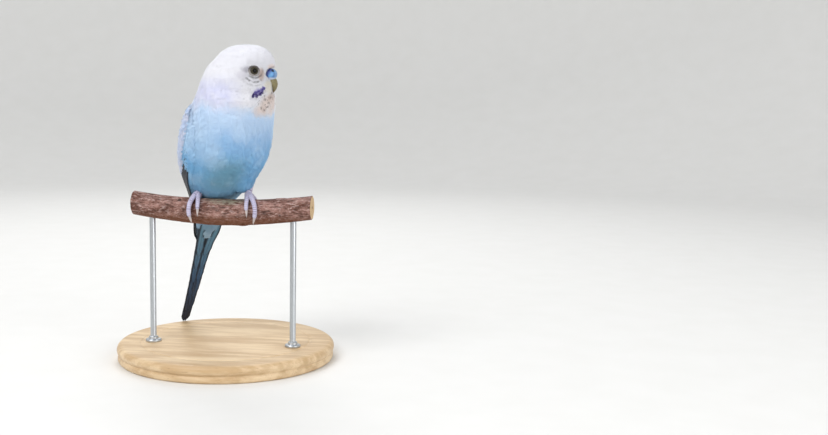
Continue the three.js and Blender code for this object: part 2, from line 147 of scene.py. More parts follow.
class Value:
    """One output of a node, to be added, multiplied and so on with others or with numbers."""

    def __init__(self, graph, socket):
        self.graph = graph
        self.socket = socket

    def __add__(self, other):
        return self.graph.math("ADD", self, other)

    def __sub__(self, other):
        return self.graph.math("SUBTRACT", self, other)

    def __rsub__(self, other):
        return self.graph.math("SUBTRACT", other, self)

    def __mul__(self, other):
        return self.graph.math("MULTIPLY", self, other)

    def __truediv__(self, other):
        return self.graph.math("DIVIDE", self, other)

    def __pow__(self, other):
        return self.graph.math("POWER", self, other)

    def __abs__(self):
        return self.graph.math("ABSOLUTE", self)

    __radd__ = __add__
    __rmul__ = __mul__

    def ramp(self, low, high):
        """0 below low and 1 above high, with soft ends; low may be the greater."""
        inputs = {"Value": self, "From Min": low, "From Max": high}
        return self.graph.add("ShaderNodeMapRange", {"interpolation_type": "SMOOTHSTEP"}, inputs)

    def under(self, *layers):
        """This colour with others laid over it in turn, each by its own factor."""
        colour = self
        for other, factor in layers:
            colour = self.graph.mix(colour, other, factor)
        return colour

    def dimmed(self, brightness):
        return self.graph.mix((0, 0, 0), self, brightness)


class Graph:
    """A node tree in the making."""

    def __init__(self, tree):
        self.tree = tree

    def add(self, kind, settings=None, inputs=None, output=0):
        """A new node's output: settings are set first, then its sockets get values or links."""
        node = self.tree.nodes.new(kind)
        for name, setting in (settings or {}).items():
            if name == "stops":
                self.set_stops(node.color_ramp, setting)
            else:
                setattr(node, name, setting)
        for key, value in (inputs or {}).items():
            if isinstance(value, Value):
                self.tree.links.new(value.socket, node.inputs[key])
            else:
                node.inputs[key].default_value = value
        return Value(self, node.outputs[output])

    @staticmethod
    def set_stops(ramp, stops):
        while len(ramp.elements) < len(stops):
            ramp.elements.new(0.5)
        for element, (position, colour) in zip(ramp.elements, stops):
            element.position = position
            element.color = colour

    def math(self, operation, *values):
        return self.add("ShaderNodeMath", {"operation": operation}, dict(enumerate(values)))

    def vector(self, operation, first, second=(0, 0, 0)):
        return self.add("ShaderNodeVectorMath", {"operation": operation}, {0: first, 1: second})

    def dot(self, value, direction):
        inputs = {0: value, 1: tuple(direction)}
        return self.add("ShaderNodeVectorMath", {"operation": "DOT_PRODUCT"}, inputs, "Value")

    def scaled(self, value, factor):
        return self.add("ShaderNodeVectorMath", {"operation": "SCALE"}, {0: value, "Scale": factor})

    def point(self, x, y, z):
        return self.add("ShaderNodeCombineXYZ", {}, {0: x, 1: y, 2: z})

    def mix(self, base, other, factor):
        """Two colours mixed; one given as three numbers is read as 0 to 255."""
        base, other = [srgb(*x) if isinstance(x, tuple) and len(x) == 3 else x for x in (base, other)]
        inputs = {0: factor, 6: base, 7: other}
        return self.add("ShaderNodeMix", {"data_type": "RGBA", "blend_type": "MIX"}, inputs, 2)

    def noise(self, at, scale, detail=2.0, roughness=0.5):
        inputs = {"Vector": at, "Scale": scale, "Detail": detail, "Roughness": roughness}
        return self.add("ShaderNodeTexNoise", {}, inputs)

    def bump(self, height, strength, distance):
        """Fine relief, with its greatest height in millimetres."""
        inputs = {"Strength": strength, "Distance": distance * MM, "Height": height}
        return self.add("ShaderNodeBump", {}, inputs)

    def place(self):
        """The place on a piece, in its object's own frame."""
        return self.add("ShaderNodeTexCoord", {}, {}, "Object")

    def attribute(self, name, output="Vector"):
        return self.add("ShaderNodeAttribute", {"attribute_name": name}, {}, output)

    def numbers(self, *names):
        return [self.attribute(name, "Fac") for name in names]

    def along(self, at, origin, *ways):
        """How far a place lies from an origin in some directions, in millimetres."""
        offset = self.vector("SUBTRACT", at, tuple(origin))
        return [self.dot(offset, way / MM) for way in ways]

    def face(self, at):
        """Forward, side and rise of a place in the head's directions; side is the same on both."""
        forward, side, rise = self.along(at, HEAD_MIDDLE, FACE, HEAD_LEFT, UP)
        return forward, abs(side), rise


def new_material(name, paint, **constants):
    """A principled material; paint writes what varies and constants are set on its sockets."""
    material = bpy.data.materials.new(name)
    material.use_nodes = True
    shader = material.node_tree.nodes["Principled BSDF"]
    sockets = {socket.name.lower().replace(" ", "_"): socket for socket in shader.inputs}
    for socket, value in constants.items():
        sockets[socket].default_value = value
    for socket, value in paint(Graph(material.node_tree)).items():
        material.node_tree.links.new(value.socket, shader.inputs[socket])
    return material


def spot(axes, middle, radii):
    """A soft round patch: 1 at its middle, falling to 0 at its rim."""
    return sum(((value - at) / radius) ** 2 for value, at, radius in zip(axes, middle, radii)).ramp(1.0, 0.15)


# Soft tints of the face, the three grey ones round the eye being painted shade: colour, place forward, to a
# side and up from the head's middle, radii, strength
FACE_TINTS = (
    ((238, 229, 200), (14.2, 5.0, -3.9), (3.8, 4.5, 4.2), 0.5),
    ((206, 176, 160), (11.0, 9.2, 2.4), (2.3, 4, 4.2), 0.7),
    ((238, 216, 204), (15.4, 2.5, 6.4), (3.4, 5, 1.9), 0.6),
    ((236, 216, 204), (13, 2, -13), (7.5, 8, 7.5), 0.65),
    ((214, 188, 172), (14.6, 1.5, -9.0), (3.4, 4, 4.5), 0.45),
    ((232, 214, 206), (9.6, 5, -16.4), (5.5, 6, 3.6), 0.6),
    # Painted shade round the eye, darkest above and behind it, in the next three tints
    ((176, 174, 186), (3.8, 12.5, 4.8), (3.8, 5, 2.0), 0.85),
    ((198, 194, 206), (1.6, 12.5, 1.6), (4, 5, 3.0), 0.4),
    ((150, 140, 134), (7.8, 12, 4.4), (3.5, 5, 2.9), 0.7),
    ((150, 142, 200), (9.3, 8.8, -6.2), (2.8, 5, 2.4), 0.5),
)


def markings(graph, at):
    """The colours of the coat and of the skin under it, from a place in the object's frame, with painted
    shade round the eyes and painted light on the right flank.
    """
    place, front, across = graph.along(at, WAIST, AXIS, BELLY, LEFT)
    forward, leftward, rise = graph.along(at, HEAD_MIDDLE, FACE, HEAD_LEFT, UP)
    along_perch, height = graph.along(at, (0, 0, 0), RIGHT, UP)
    face = (forward, abs(leftward), rise)
    mottle = graph.noise(at, 260, 3)
    drift = graph.noise(at, 90, 2) - 0.5

    look = bpy.context.scene.budgerigar_coat
    stops = [(0.0, srgb(130, 162, 186)), (0.34, look.low_blue), (0.64, look.mid_blue), (1.0, look.high_blue)]
    blue = graph.add("ShaderNodeValToRGB", {"stops": stops}, {0: (place + drift * 14 + 60) / 86})
    centre = abs(across + 6).ramp(15, 2) * place.ramp(7, -3) * place.ramp(-28, -12)
    # Painted light: the right flank, the side the key light falls on, painted paler blue
    flank = across.ramp(-9, -17) * place.ramp(-10, 2)

    edge = height + along_perch * 0.13 + drift * 10
    white_part = edge.ramp(132.0, 141.5)
    nape = forward.ramp(4, -8) * rise.ramp(4, -6)
    ripple = graph.math("SINE", (place + drift * 5) * 2.6)
    behind = forward.ramp(-7, -15) * height.ramp(126, 134) * rise.ramp(14, 4) * leftward.ramp(-6, 4)
    ragged = mottle.ramp(0.25, 0.6) * 0.35 + 0.65

    from_eye = graph.math("SQRT", (forward - EYE_PLACE[0]) ** 2 + (rise - EYE_PLACE[2]) ** 2)
    below = (rise - (forward - EYE_PLACE[0]) * 0.55).ramp(4.4, 2.2) * face[1].ramp(7, 9)
    wave = from_eye + (mottle - 0.5) * 0.8
    dots = graph.noise(at, 900, 1).ramp(0.42, 0.56)
    arcs = ((3.7, 0.65), (5.6, dots * 0.75), (7.4, dots * 0.35))
    colour = blue.under(
        ((100, 144, 156), centre * front.ramp(0, 6) * 0.62),
        ((200, 220, 238), mottle.ramp(0.5, 0.8) * 0.24),
        ((186, 216, 240), drift.ramp(0.0, 0.16) * 0.3),
        # Painted light on the right flank
        ((196, 220, 242), flank * 0.45),
        ((204, 226, 250), edge.ramp(115.0, 135.0) * 0.8),
        (look.white, white_part),
        ((204, 208, 246), nape * white_part * (mottle * 0.9)),
        ((120, 124, 150), ripple.ramp(0.2, 0.9) * behind * 0.42),
        # The face tints, among them the painted shade round the eye
        *[(tone, spot(face, *patch) * ragged * strength) for tone, *patch, strength in FACE_TINTS],
        *[((88, 84, 92), abs(wave - reach).ramp(0.5, 0.2) * below * strength) for reach, strength in arcs])
    return colour, face


# Dark flecks of the throat, forward, to a side and up from the head's middle
FLECKS = ((11.4, 7.6, -6.9), (12.6, 5.6, -10.2), (15.2, 2.4, -9.2), (9.4, 7.8, -12.2), (13.7, 2.6, -14.1),
          (12.1, 4.2, -15.6), (15.8, 2.0, -6.8), (10.6, 6.4, -14.6), (14.4, 3.2, -11.8))


def coat_paint(graph):
    """Each feather has one colour of the markings, with a darker base, partly grey down and partly painted
    shade where the feathers overlap; some of the throat are dark.
    """
    mark = graph.attribute("mark")
    along, shade = graph.numbers("along", "shade")
    colour, face = markings(graph, mark)
    forward, _, rise = face
    chance = graph.add("ShaderNodeTexWhiteNoise", {}, {0: graph.scaled(mark, 1000.0)})
    fleck = chance.ramp(0.93, 0.95) * forward.ramp(7, 10) * rise.ramp(-17, -14) * rise.ramp(-3, -6)
    for middle in FLECKS:
        fleck = graph.math("MAXIMUM", fleck, spot(face, middle, (0.8, 2.0, 0.75)))
    # Darker towards each feather's base: partly the grey down there, partly painted shade under the
    # overlapping feathers
    bright = along.ramp(0.0, 0.6) * 0.16 + (shade - 0.5) * 0.07 + 0.86
    return {"Base Color": colour.under(((104, 86, 82), fleck * along.ramp(0.3, 0.55) * 0.8)).dimmed(bright)}


def skin_paint(graph):
    """The coat's markings, darkened as painted shade under the coat, and dark where the tail begins."""
    at = graph.place()
    place, = graph.along(at, WAIST, AXIS)
    # Painted shade: the skin between the feathers is the markings darkened
    colour = markings(graph, at)[0].dimmed(graph.noise(at, 900, 2) * 0.12 + 0.8)
    return {"Base Color": colour.under(((46, 62, 76), place.ramp(-48, -54)))}


def bare_skin_paint(graph):
    """Matt mauve-grey skin of the feet and lids, pinker between the scutes; the lids are darker above the eye
    as painted shade.
    """
    at = graph.place()
    scute, = graph.numbers("scute")
    mottle = graph.noise(at, 700, 3)
    above_eye = graph.face(at)[2] - EYE_PLACE[2]
    # Painted shade: the lids darker above the eye, lighter below it
    lid = graph.mix((152, 147, 146), (82, 76, 74), above_eye.ramp(-0.8, 1.4))
    colour = graph.mix((116, 106, 132), (188, 184, 208), scute.ramp(0.1, 0.75)).under(
        ((204, 184, 194), mottle.ramp(0.5, 0.72) * 0.5),
        (lid, scute.ramp(-0.2, -0.8)))
    bump = graph.bump(graph.noise(at, 2600, 3), 0.35, 0.2)
    return {"Base Color": colour, "Roughness": mottle * 0.2 + 0.42, "Normal": bump}


def vane_bump(graph, across, along, ribs, strength):
    """Fine slanting barbs on a vane, and the raised shaft along its middle."""
    barbs = graph.math("SINE", (abs(across) * 0.55 - along) * ribs)
    return graph.bump(barbs * 0.12 + abs(across).ramp(0.09, 0.02), strength, 0.12)


def covert_paint(graph):
    """Wing coverts: white, with a dark crescent inside the pale edge where the wing is marked, and darker
    towards the base as painted shade.
    """
    along, across, dark, shade = graph.numbers("along", "across", "dark", "shade")
    bowed = along + across * across * 0.32
    inner = bowed.ramp(0.9, 0.82) * abs(across).ramp(0.86, 0.7)
    mottle = graph.noise(graph.attribute("root"), 240, 3)
    pale = graph.mix((206, 212, 232), (170, 198, 234), mottle.ramp(0.4, 0.7) * 0.7)
    deep = graph.mix((150, 158, 172), (58, 60, 70), bowed.ramp(0.42, 0.66))
    # Darker towards each covert's base: painted shade under the overlapping feathers
    bright = (shade - 0.5) * 0.1 + along.ramp(0.1, 0.6) * 0.12 + 0.84
    colour = pale.under((deep, inner * dark)).dimmed(bright)
    return {"Base Color": colour, "Normal": vane_bump(graph, across, along, 90, 0.4)}


def flight_paint(graph):
    """Flight feathers: near-black webs with a pale outer edge, bluish grey towards the shaft."""
    along, across, pale_edge, shade = graph.numbers("along", "across", "pale", "shade")
    streak = graph.noise(graph.point(across * 5, along * 1.5, shade * 40), 2.2, 3)
    edge = (across + (streak - 0.5) * 0.08).ramp(0.78, 0.92) * pale_edge
    tip = along.ramp(0.94, 0.99) * 0.5 * pale_edge
    colour = graph.mix((30, 33, 41), (60, 69, 84), streak.ramp(0.4, 0.75)).under(
        ((222, 226, 232), graph.math("MAXIMUM", edge, tip)),
        ((24, 24, 28), abs(across).ramp(0.07, 0.02) * 0.7))
    return {"Base Color": colour, "Normal": vane_bump(graph, across, along, 260, 0.5)}


def rectrix_paint(graph):
    """Tail feathers: steel blue, deeper towards the tip, with dark edges and shafts."""
    along, across, shade = graph.numbers("along", "across", "shade")
    place, = graph.along(graph.place(), WAIST, AXIS)
    streak = graph.noise(graph.point(across * 4, along * 2, shade * 30), 2.4, 3)
    stops = [(0.0, srgb(32, 40, 62)), (0.45, srgb(48, 80, 116)), (1.0, srgb(92, 136, 162))]
    web = graph.add("ShaderNodeValToRGB", {"stops": stops}, {0: (place + 121) / 62 + (streak - 0.5) * 0.3})
    edge = (abs(across) + (streak - 0.5) * 0.2).ramp(0.5, 0.85)
    colour = web.under(((22, 30, 44), edge * 0.85), ((26, 34, 50), abs(across).ramp(0.09, 0.03) * 0.55))
    return {"Base Color": colour, "Normal": vane_bump(graph, across, along, 320, 0.5)}


def plume_paint(graph):
    """The violet cheek plumes, paler between their dark tips."""
    along, down = graph.numbers("along", "dark")
    gap = graph.noise(graph.attribute("root"), 700, 1).ramp(0.54, 0.64)
    colour = graph.mix((118, 108, 184), (58, 46, 112), down.ramp(-0.1, 0.35)).under(
        ((104, 96, 176), along.ramp(0.3, 0.0) * 0.5),
        ((170, 162, 214), gap * 0.6))
    return {"Base Color": colour}


def eye_paint(graph):
    """Dark pupil, pale olive ring with fine spokes, and a dark rim under the lids."""
    at = graph.place()
    x, y, z = [value - middle for value, middle in zip(graph.face(at), EYE_PLACE - EYE_FACING * EYE_INSET)]
    offset = graph.point(x, y, z)
    outward = graph.dot(offset, EYE_FACING)
    reach = graph.add("ShaderNodeVectorMath", {"operation": "LENGTH"}, {0: offset}, "Value")
    radius = graph.math("SQRT", graph.math("MAXIMUM", reach ** 2 - outward ** 2, 0.0))
    spokes = graph.math("SINE", graph.math("ARCTAN2", z, x) * 46 + graph.noise(at, 1800, 2) * 9)
    ring = graph.mix((50, 46, 36), (88, 83, 66), spokes.ramp(-0.4, 0.9) * 0.7).under(
        ((58, 54, 42), radius.ramp(PUPIL_RADIUS + 0.4, PUPIL_RADIUS + 0.05) * 0.7),
        ((40, 36, 32), radius.ramp(IRIS_RADIUS - 0.15, IRIS_RADIUS + 0.1)))
    return {"Base Color": graph.mix((10, 8, 7), ring, radius.ramp(PUPIL_RADIUS - 0.06, PUPIL_RADIUS + 0.06))}


def cere_paint(graph):
    """Waxy blue, paler along the lower rim, with a painted highlight on each lobe, painted shade in its back
    lower corner, and nostrils painted dark as shade in their pits.
    """
    at = graph.place()
    face = forward, _, rise = graph.face(at)
    mottle = graph.noise(at, 900, 3)
    rim = rise.ramp(1.3, 0.6) * forward.ramp(13.2, 14.6)
    # Painted shade in the back lower corner, next to the eye
    corner = (forward - rise * 0.8).ramp(13.6, 11.2)
    colour = graph.mix((50, 104, 168), (92, 150, 206), (rise + mottle * 2.4).ramp(3.0, 6.2)).under(
        # Painted highlight on each lobe
        ((128, 188, 234), spot(face, (15.0, 4.6, 2.4), (2.0, 2, 1.8)) * 0.6),
        ((52, 92, 148), rise.ramp(4.9, 5.8) * 0.4),
        ((196, 202, 218), rim * 0.85),
        ((146, 176, 204), forward.ramp(16.3, 17.6) * 0.5),
        ((60, 60, 128), corner * 0.85),
        # Painted shade in the nostril pits
        ((12, 18, 30), spot(face, NOSTRIL, (1.05, 1.4, 0.95))))
    bump = graph.bump(graph.noise(at, 3200, 4), 0.3, 0.2)
    return {"Base Color": colour, "Roughness": mottle * 0.25 + 0.3, "Normal": bump}


def horn_paint(base, deep, tip):
    """The paint of horn with a fine grain, from its three colours."""
    def paint(graph):
        along, = graph.numbers("along")
        grain = graph.noise(graph.place(), 1500, 3)
        colour = graph.mix(base, deep, grain.ramp(0.4, 0.8) * 0.6).under((tip, along.ramp(0.45, 1.0) * 0.8))
        return {"Base Color": colour, "Roughness": grain * 0.2 + 0.28, "Normal": graph.bump(grain, 0.25, 0.1)}
    return paint


def bark_paint(graph):
    """Reddish bark with pinkish-grey scales and dark cracks, browner and darker underneath, partly its own
    colour and partly painted shade; the sawn ends are pale, with rings.
    """
    at = graph.place()
    depth, end, reach = graph.numbers("relief", "sawn", "reach")
    along_perch, height = graph.along(at, (0, 0, 0), RIGHT, UP)
    long_at = graph.vector("MULTIPLY", at, (0.35, 1, 1))
    patches = graph.noise(long_at, 230, 4, 0.65)
    specks = graph.noise(long_at, 1100, 3, 0.75)
    mossy = spot((along_perch, height), (2.0, 87.0), (14, 3.2))
    rings = graph.math("SINE", (reach + (patches - 0.5) * 0.4) * 9)
    wood = graph.mix((206, 178, 140), (166, 130, 92), rings.ramp(0.2, 0.9) * 0.6).under(
        ((96, 66, 44), reach.ramp(1.0, 0.7)),
        ((110, 74, 52), reach.ramp(5.7, 6.2)))
    colour = graph.mix((102, 64, 52), (156, 118, 108), patches.ramp(0.36, 0.62)).under(
        ((70, 48, 42), specks.ramp(0.48, 0.36) * 0.8),
        ((198, 174, 168), specks.ramp(0.5, 0.66) * 0.65),
        ((146, 142, 122), mossy * specks.ramp(0.4, 0.55) * 0.8),
        ((46, 32, 28), depth.ramp(0.32, 0.05) * 0.8),
        # Underside darker and browner: partly the bark's own colour, partly painted shade from the light
        # above
        ((100, 56, 26), height.ramp(80.5, 75.0) * (patches * 0.8 + 0.3)),
        (wood, end))
    return {"Base Color": colour, "Roughness": specks * 0.2 + 0.72, "Normal": graph.bump(specks, 0.6, 0.3)}


def base_paint(graph):
    """Pale turned wood with long grain."""
    at = graph.place()
    grain = graph.noise(graph.vector("MULTIPLY", at, (1, 7, 7)), 22, 4, 0.6)
    pores = graph.noise(graph.vector("MULTIPLY", at, (1, 16, 16)), 120, 2, 0.5)
    colour = graph.mix((196, 164, 122), (224, 198, 160), grain.ramp(0.35, 0.65)).under(
        ((160, 124, 84), pores.ramp(0.6, 0.75) * 0.5))
    return {"Base Color": colour, "Roughness": grain * 0.2 + 0.38, "Normal": graph.bump(pores, 0.2, 0.3)}


def paper_paint(graph):
    """Plain pale studio paper."""
    return {"Base Color": graph.mix((230, 229, 226), (235, 234, 232), graph.noise(graph.place(), 40, 2))}


def steel_paint(graph):
    """Brushed steel, its fine scratches running round the rod."""
    brushed = graph.noise(graph.vector("MULTIPLY", graph.place(), (1, 1, 30)), 400, 3, 0.7)
    colour = graph.mix((178, 182, 186), (206, 210, 214), brushed)
    return {"Base Color": colour, "Roughness": brushed * 0.25 + 0.2}


class CoatLook(bpy.types.PropertyGroup):
    """Sizes and colours of the bird's coat."""

    voxel: bpy.props.FloatProperty(
        name="Skin step", description="Size of the skin's faces", default=0.55 * MM, unit="LENGTH")
    depth: bpy.props.FloatProperty(
        name="Coat depth", description="Depth of the plumage on the breast", default=1.6 * MM, unit="LENGTH")
    length: bpy.props.FloatProperty(
        name="Feather length", description="Length of a breast feather", default=7.0 * MM, unit="LENGTH")
    closeness: bpy.props.FloatProperty(
        name="Closeness", description="How closely the feathers stand, as a factor", default=1.0)
    seed: bpy.props.IntProperty(
        name="Seed", description="Changes where each feather grows", default=7)
    white: bpy.props.FloatVectorProperty(
        name="Head", description="Colour of the head", size=4, subtype="COLOR", default=srgb(240, 240, 246))
    high_blue: bpy.props.FloatVectorProperty(
        name="Upper breast", description="Colour of the upper breast", size=4, subtype="COLOR",
        default=srgb(180, 213, 248))
    mid_blue: bpy.props.FloatVectorProperty(
        name="Breast", description="Colour of the breast", size=4, subtype="COLOR",
        default=srgb(114, 174, 220))
    low_blue: bpy.props.FloatVectorProperty(
        name="Belly", description="Colour of the belly", size=4, subtype="COLOR", default=srgb(108, 160, 198))


class StandLook(bpy.types.PropertyGroup):
    """Finish of the stand."""

    rounding: bpy.props.IntProperty(
        name="Sides", description="Sides of the turned pieces", default=128, min=16)
    collar: bpy.props.FloatProperty(
        name="Collar height", description="Height of the collar at a rod's foot", default=2.8 * MM,
        unit="LENGTH")


class StageLook(bpy.types.PropertyGroup):
    """Camera and lights."""

    lens: bpy.props.FloatProperty(
        name="Lens", description="Focal length in millimetres", default=47.15)
    key: bpy.props.FloatProperty(
        name="Key light", description="Power of the main soft light", default=7.9, unit="POWER")
    fill: bpy.props.FloatProperty(
        name="Fill light", description="Power of the light from the other side", default=3.4, unit="POWER")
    sky: bpy.props.FloatProperty(
        name="Sky", description="Strength of the light from all round", default=0.62)


def new_object(name, data):
    obj = bpy.data.objects.new(name, data)
    bpy.context.scene.collection.objects.link(obj)
    return obj


def new_piece(name, vertices, faces, material=None):
    """A smooth-shaded mesh object in the scene."""
    mesh = bpy.data.meshes.new(name)
    mesh.from_pydata([tuple(v) for v in np.asarray(vertices, float)], [], [tuple(f) for f in faces])
    mesh.shade_smooth()
    if material:
        mesh.materials.append(material)
    return new_object(name, mesh)


def write_attribute(mesh, name, values, kind="FLOAT"):
    attribute = mesh.attributes.new(name, kind, "POINT")
    key = "vector" if kind == "FLOAT_VECTOR" else "value"
    attribute.data.foreach_set(key, np.asarray(values, np.float32).ravel())


def read_all(items, key, width=1, kind=np.float32):
    """One property of every vertex, edge, corner or face of a mesh."""
    values = np.zeros(len(items) * width, kind)
    items.foreach_get(key, values)
    return values.reshape(-1, width) if width > 1 else values


def read_attribute(mesh, name, width=1):
    return read_all(mesh.attributes[name].data, "vector" if width == 3 else "value", width)


def mesh_points(mesh):
    return read_all(mesh.vertices, "co", 3).astype(float)


def write_map(mesh, places):
    """Writes the mesh's pattern map from a place for each vertex."""
    corners = read_all(mesh.loops, "vertex_index", kind=np.int32)
    layer = mesh.uv_layers.get("OFBake") or mesh.uv_layers.new(name="OFBake")
    layer.uv.foreach_set("vector", places[corners].astype(np.float32).ravel())


def finish_piece(obj, slot, *nodes):
    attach(obj, "root")
    if nodes:
        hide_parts(*nodes)
    return obj


def evaluated_mesh(obj):
    """The object's mesh with its modifiers applied, as a plain mesh of its own."""
    bpy.context.view_layer.update()
    graph = bpy.context.evaluated_depsgraph_get()
    return bpy.data.meshes.new_from_object(obj.evaluated_get(graph))


def sheet_faces(rows, columns, round_rows=False, round_columns=False):
    """Faces between neighbouring points of a grid, whose rows or columns may run round."""
    faces = []
    for r in range(rows if round_rows else rows - 1):
        low, high = r * columns, (r + 1) % rows * columns
        for c in range(columns if round_columns else columns - 1):
            after = (c + 1) % columns
            faces.append((low + c, low + after, high + after, high + c))
    return faces


def tube(rings):
    """Vertices and faces of a closed form through rings of points, its ends drawn to a point."""
    rows, count = rings.shape[:2]
    points = np.concatenate([rings.reshape(-1, 3), rings[0].mean(0)[None], rings[-1].mean(0)[None]])
    faces = sheet_faces(rows, count, round_columns=True)
    for k in range(count):
        after = (k + 1) % count
        faces.append((after, k, rows * count))
        last = (rows - 1) * count
        faces.append((last + k, last + after, rows * count + 1))
    return points, faces


def outward(obj):
    """Turns a closed mesh's faces outwards."""
    shape = bmesh.new()
    shape.from_mesh(obj.data)
    bmesh.ops.recalc_face_normals(shape, faces=shape.faces)
    shape.to_mesh(obj.data)
    shape.free()
    return obj


def bent_tube(line, sizes, around=16, guide=(1, 0, 0)):
    """Rings round a line of points. sizes(way, angle) gives two radii for each ring's points."""
    line = np.asarray(line, float)
    tangents = unit(np.gradient(line, axis=0))
    angles = np.linspace(0, 2 * math.pi, around, endpoint=False)
    rings = []
    for way, point, tangent in zip(np.linspace(0, 1, len(line)), line, tangents):
        first = unit(np.asarray(guide, float) - np.dot(guide, tangent) * tangent)
        second = np.cross(tangent, first)
        wide, deep = sizes(way, angles)
        across, down = np.cos(angles) * wide, np.sin(angles) * deep
        rings.append(point + first * across[:, None] + second * down[:, None])
    return np.array(rings)


def curve_through(points, steps):
    """Evenly spaced points of a smooth curve through a few points."""
    points = np.asarray(points, float)
    padded = np.concatenate([2 * points[:1] - points[1:2], points, 2 * points[-1:] - points[-2:-1]])
    found = []
    for t in np.linspace(0, len(points) - 1, steps * 4):
        k = min(int(t), len(points) - 2)
        u = t - k
        p = padded[k:k + 4]
        found.append(0.5 * (2 * p[1] + (p[2] - p[0]) * u + (2 * p[0] - 5 * p[1] + 4 * p[2] - p[3]) * u ** 2
                            + (3 * p[1] - p[0] - 3 * p[2] + p[3]) * u ** 3))
    found = np.array(found)
    length = np.concatenate([[0], np.cumsum(np.linalg.norm(np.diff(found, axis=0), axis=1))])
    even = np.linspace(0, length[-1], steps)
    return np.stack([np.interp(even, length, found[:, k]) for k in range(3)], 1)


# Perch and feet


def perch_radius(x):
    return PERCH_RADIUS + PERCH_SWELLING * np.exp(-((x / PERCH_SWELLING_REACH) ** 2))


def on_perch(x, angle, clearance):
    """A point at an angle from the perch's top towards the viewer, in metres; x and clearance in mm."""
    radius = perch_radius(x) + clearance
    rise = PERCH_SAG * x * x
    return PERCH_MIDDLE + np.array((x, -radius * math.sin(angle), rise + radius * math.cos(angle))) * MM


def toe_line(side, toe, start, end, radius, steps=12):
    """The middle line of a toe or claw, between two angles round the perch."""
    middle = FOOT_APART["left" if side > 0 else "right"]
    points = []
    for reach in np.linspace(start, end, steps):
        way = abs(reach / toe["claw"])
        bowed = toe["bow"] * math.sin(min(1, way / TOE_SPREAD) * math.pi / 2)
        sideways = bowed + (toe["end"] - bowed) * smooth(way, TOE_SPREAD, 1)
        swing = FOOT_SWING * math.sin(math.radians(reach))
        lift = TOE_LIFT * max(0, 1 - abs(reach / toe["toe"]) * 3)
        x = middle + side * sideways + swing
        points.append(on_perch(x, math.radians(reach), radius + lift + TOE_CLEARANCE))
    return np.array(points)


def scaled_limb(line, radius, taper, joints, around=18):
    """A toe or shank: rounded ends, ring scales on its outer side and soft pads under its joints."""
    steps = len(line)
    length = np.linalg.norm(np.diff(line, axis=0), axis=1).sum() / MM
    tangents = unit(np.gradient(line, axis=0))
    angles = np.linspace(0, 2 * math.pi, around, endpoint=False)
    rings, scutes = [], []
    for k, (point, tangent) in enumerate(zip(line, tangents)):
        way = k / (steps - 1)
        away = point - (PERCH_MIDDLE + np.array((point[0] - PERCH_MIDDLE[0], 0, 0)))
        away = unit(away - np.dot(away, tangent) * tangent) if np.linalg.norm(away) > 1e-6 else UP
        across = np.cross(tangent, away)
        near_end = min(way, 1 - way) * length / radius
        closing = math.sqrt(max(0.0, 1 - max(0.0, 1 - near_end) ** 2))
        plain = radius * (1 - taper * way) * closing
        ring = (way * length / 1.15) % 1
        outer = np.clip(np.cos(angles) * 1.4 + 0.2, 0, 1)
        plate = smooth(ring, 0, 0.2) * (1 - 0.5 * ring)
        scale = 0.07 * outer * (plate - 0.5)
        pad = 0.1 * np.clip(-np.cos(angles), 0, 1) * math.sin(way * joints * math.pi) ** 2
        size = plain * (1 + scale + pad)
        flat = np.cos(angles) * size
        wide = np.sin(angles) * size * 0.94
        rings.append(point + (away * flat[:, None] + across * wide[:, None]) * MM)
        scutes.append(plate * outer + (1 - outer) * 0.6)
    points, faces = tube(np.array(rings))
    scute = np.concatenate([np.concatenate(scutes), [0.5, 0.5]])
    return points, faces, scute


def foot_parts(side):
    """Every closed form of one foot: the four toes, the ball of the foot and the shank."""
    name = "left" if side > 0 else "right"
    parts = []
    for toe in TOES.values():
        line = toe_line(side, toe, 0, toe["toe"] + math.copysign(2.6, toe["toe"]), toe["radius"], 64)
        parts.append(scaled_limb(line, toe["radius"], 0.24, 3))
    x = FOOT_APART[name]
    rise = PERCH_SAG * x * x
    pad = FOOT_PAD_RISE + rise
    shank = [(x, 6.0, 17.5), (x, 4.0, 14.5), (x, 1.2, 11.0 + rise), (x, 0.0, pad)]
    line = curve_through(PERCH_MIDDLE + np.array(shank) * MM, 30)
    parts.append(scaled_limb(line, 1.75, -0.1, 1))
    ball = [(x, 2.9, pad - 0.3), (x, 0.0, pad + 0.1), (x, -2.7, pad - 0.3)]
    parts.append(scaled_limb(curve_through(PERCH_MIDDLE + np.array(ball) * MM, 22), 2.0, 0.0, 1))
    return parts


# Skin

FLESH = ("head", "neck", "trunk", "tail", "wing_left", "wing_right", "leg_left", "leg_right")
TAIL_ROOT = -63.0


def eye_middle(side):
    middle = EYE_PLACE - EYE_FACING * EYE_INSET
    return in_head(middle[0], side * middle[1], middle[2])


def eye_outward(side):
    return FACE * EYE_FACING[0] + HEAD_LEFT * side * EYE_FACING[1] + UP * EYE_FACING[2]


def merged_solids(names, tail_end=None):
    """One mesh of copies of some of the frame's solids, their loose triangles merged."""
    together = bmesh.new()
    if tail_end is not None:
        together.from_mesh(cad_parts["tail"].data)
        bmesh.ops.remove_doubles(together, verts=together.verts, dist=0.002 * MM)
        cut = bmesh.ops.bisect_plane(
            together, geom=together.verts[:] + together.edges[:] + together.faces[:],
            plane_co=WAIST + AXIS * tail_end * MM, plane_no=-AXIS, clear_outer=True)
        rim = [x for x in cut["geom_cut"] if isinstance(x, bmesh.types.BMEdge)]
        bmesh.ops.edgenet_fill(together, edges=rim)
    for name in names:
        if name != "tail" or tail_end is None:
            together.from_mesh(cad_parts[name].data)
    bmesh.ops.remove_doubles(together, verts=together.verts, dist=0.002 * MM)
    mesh = bpy.data.meshes.new("merged")
    together.to_mesh(mesh)
    together.free()
    return mesh


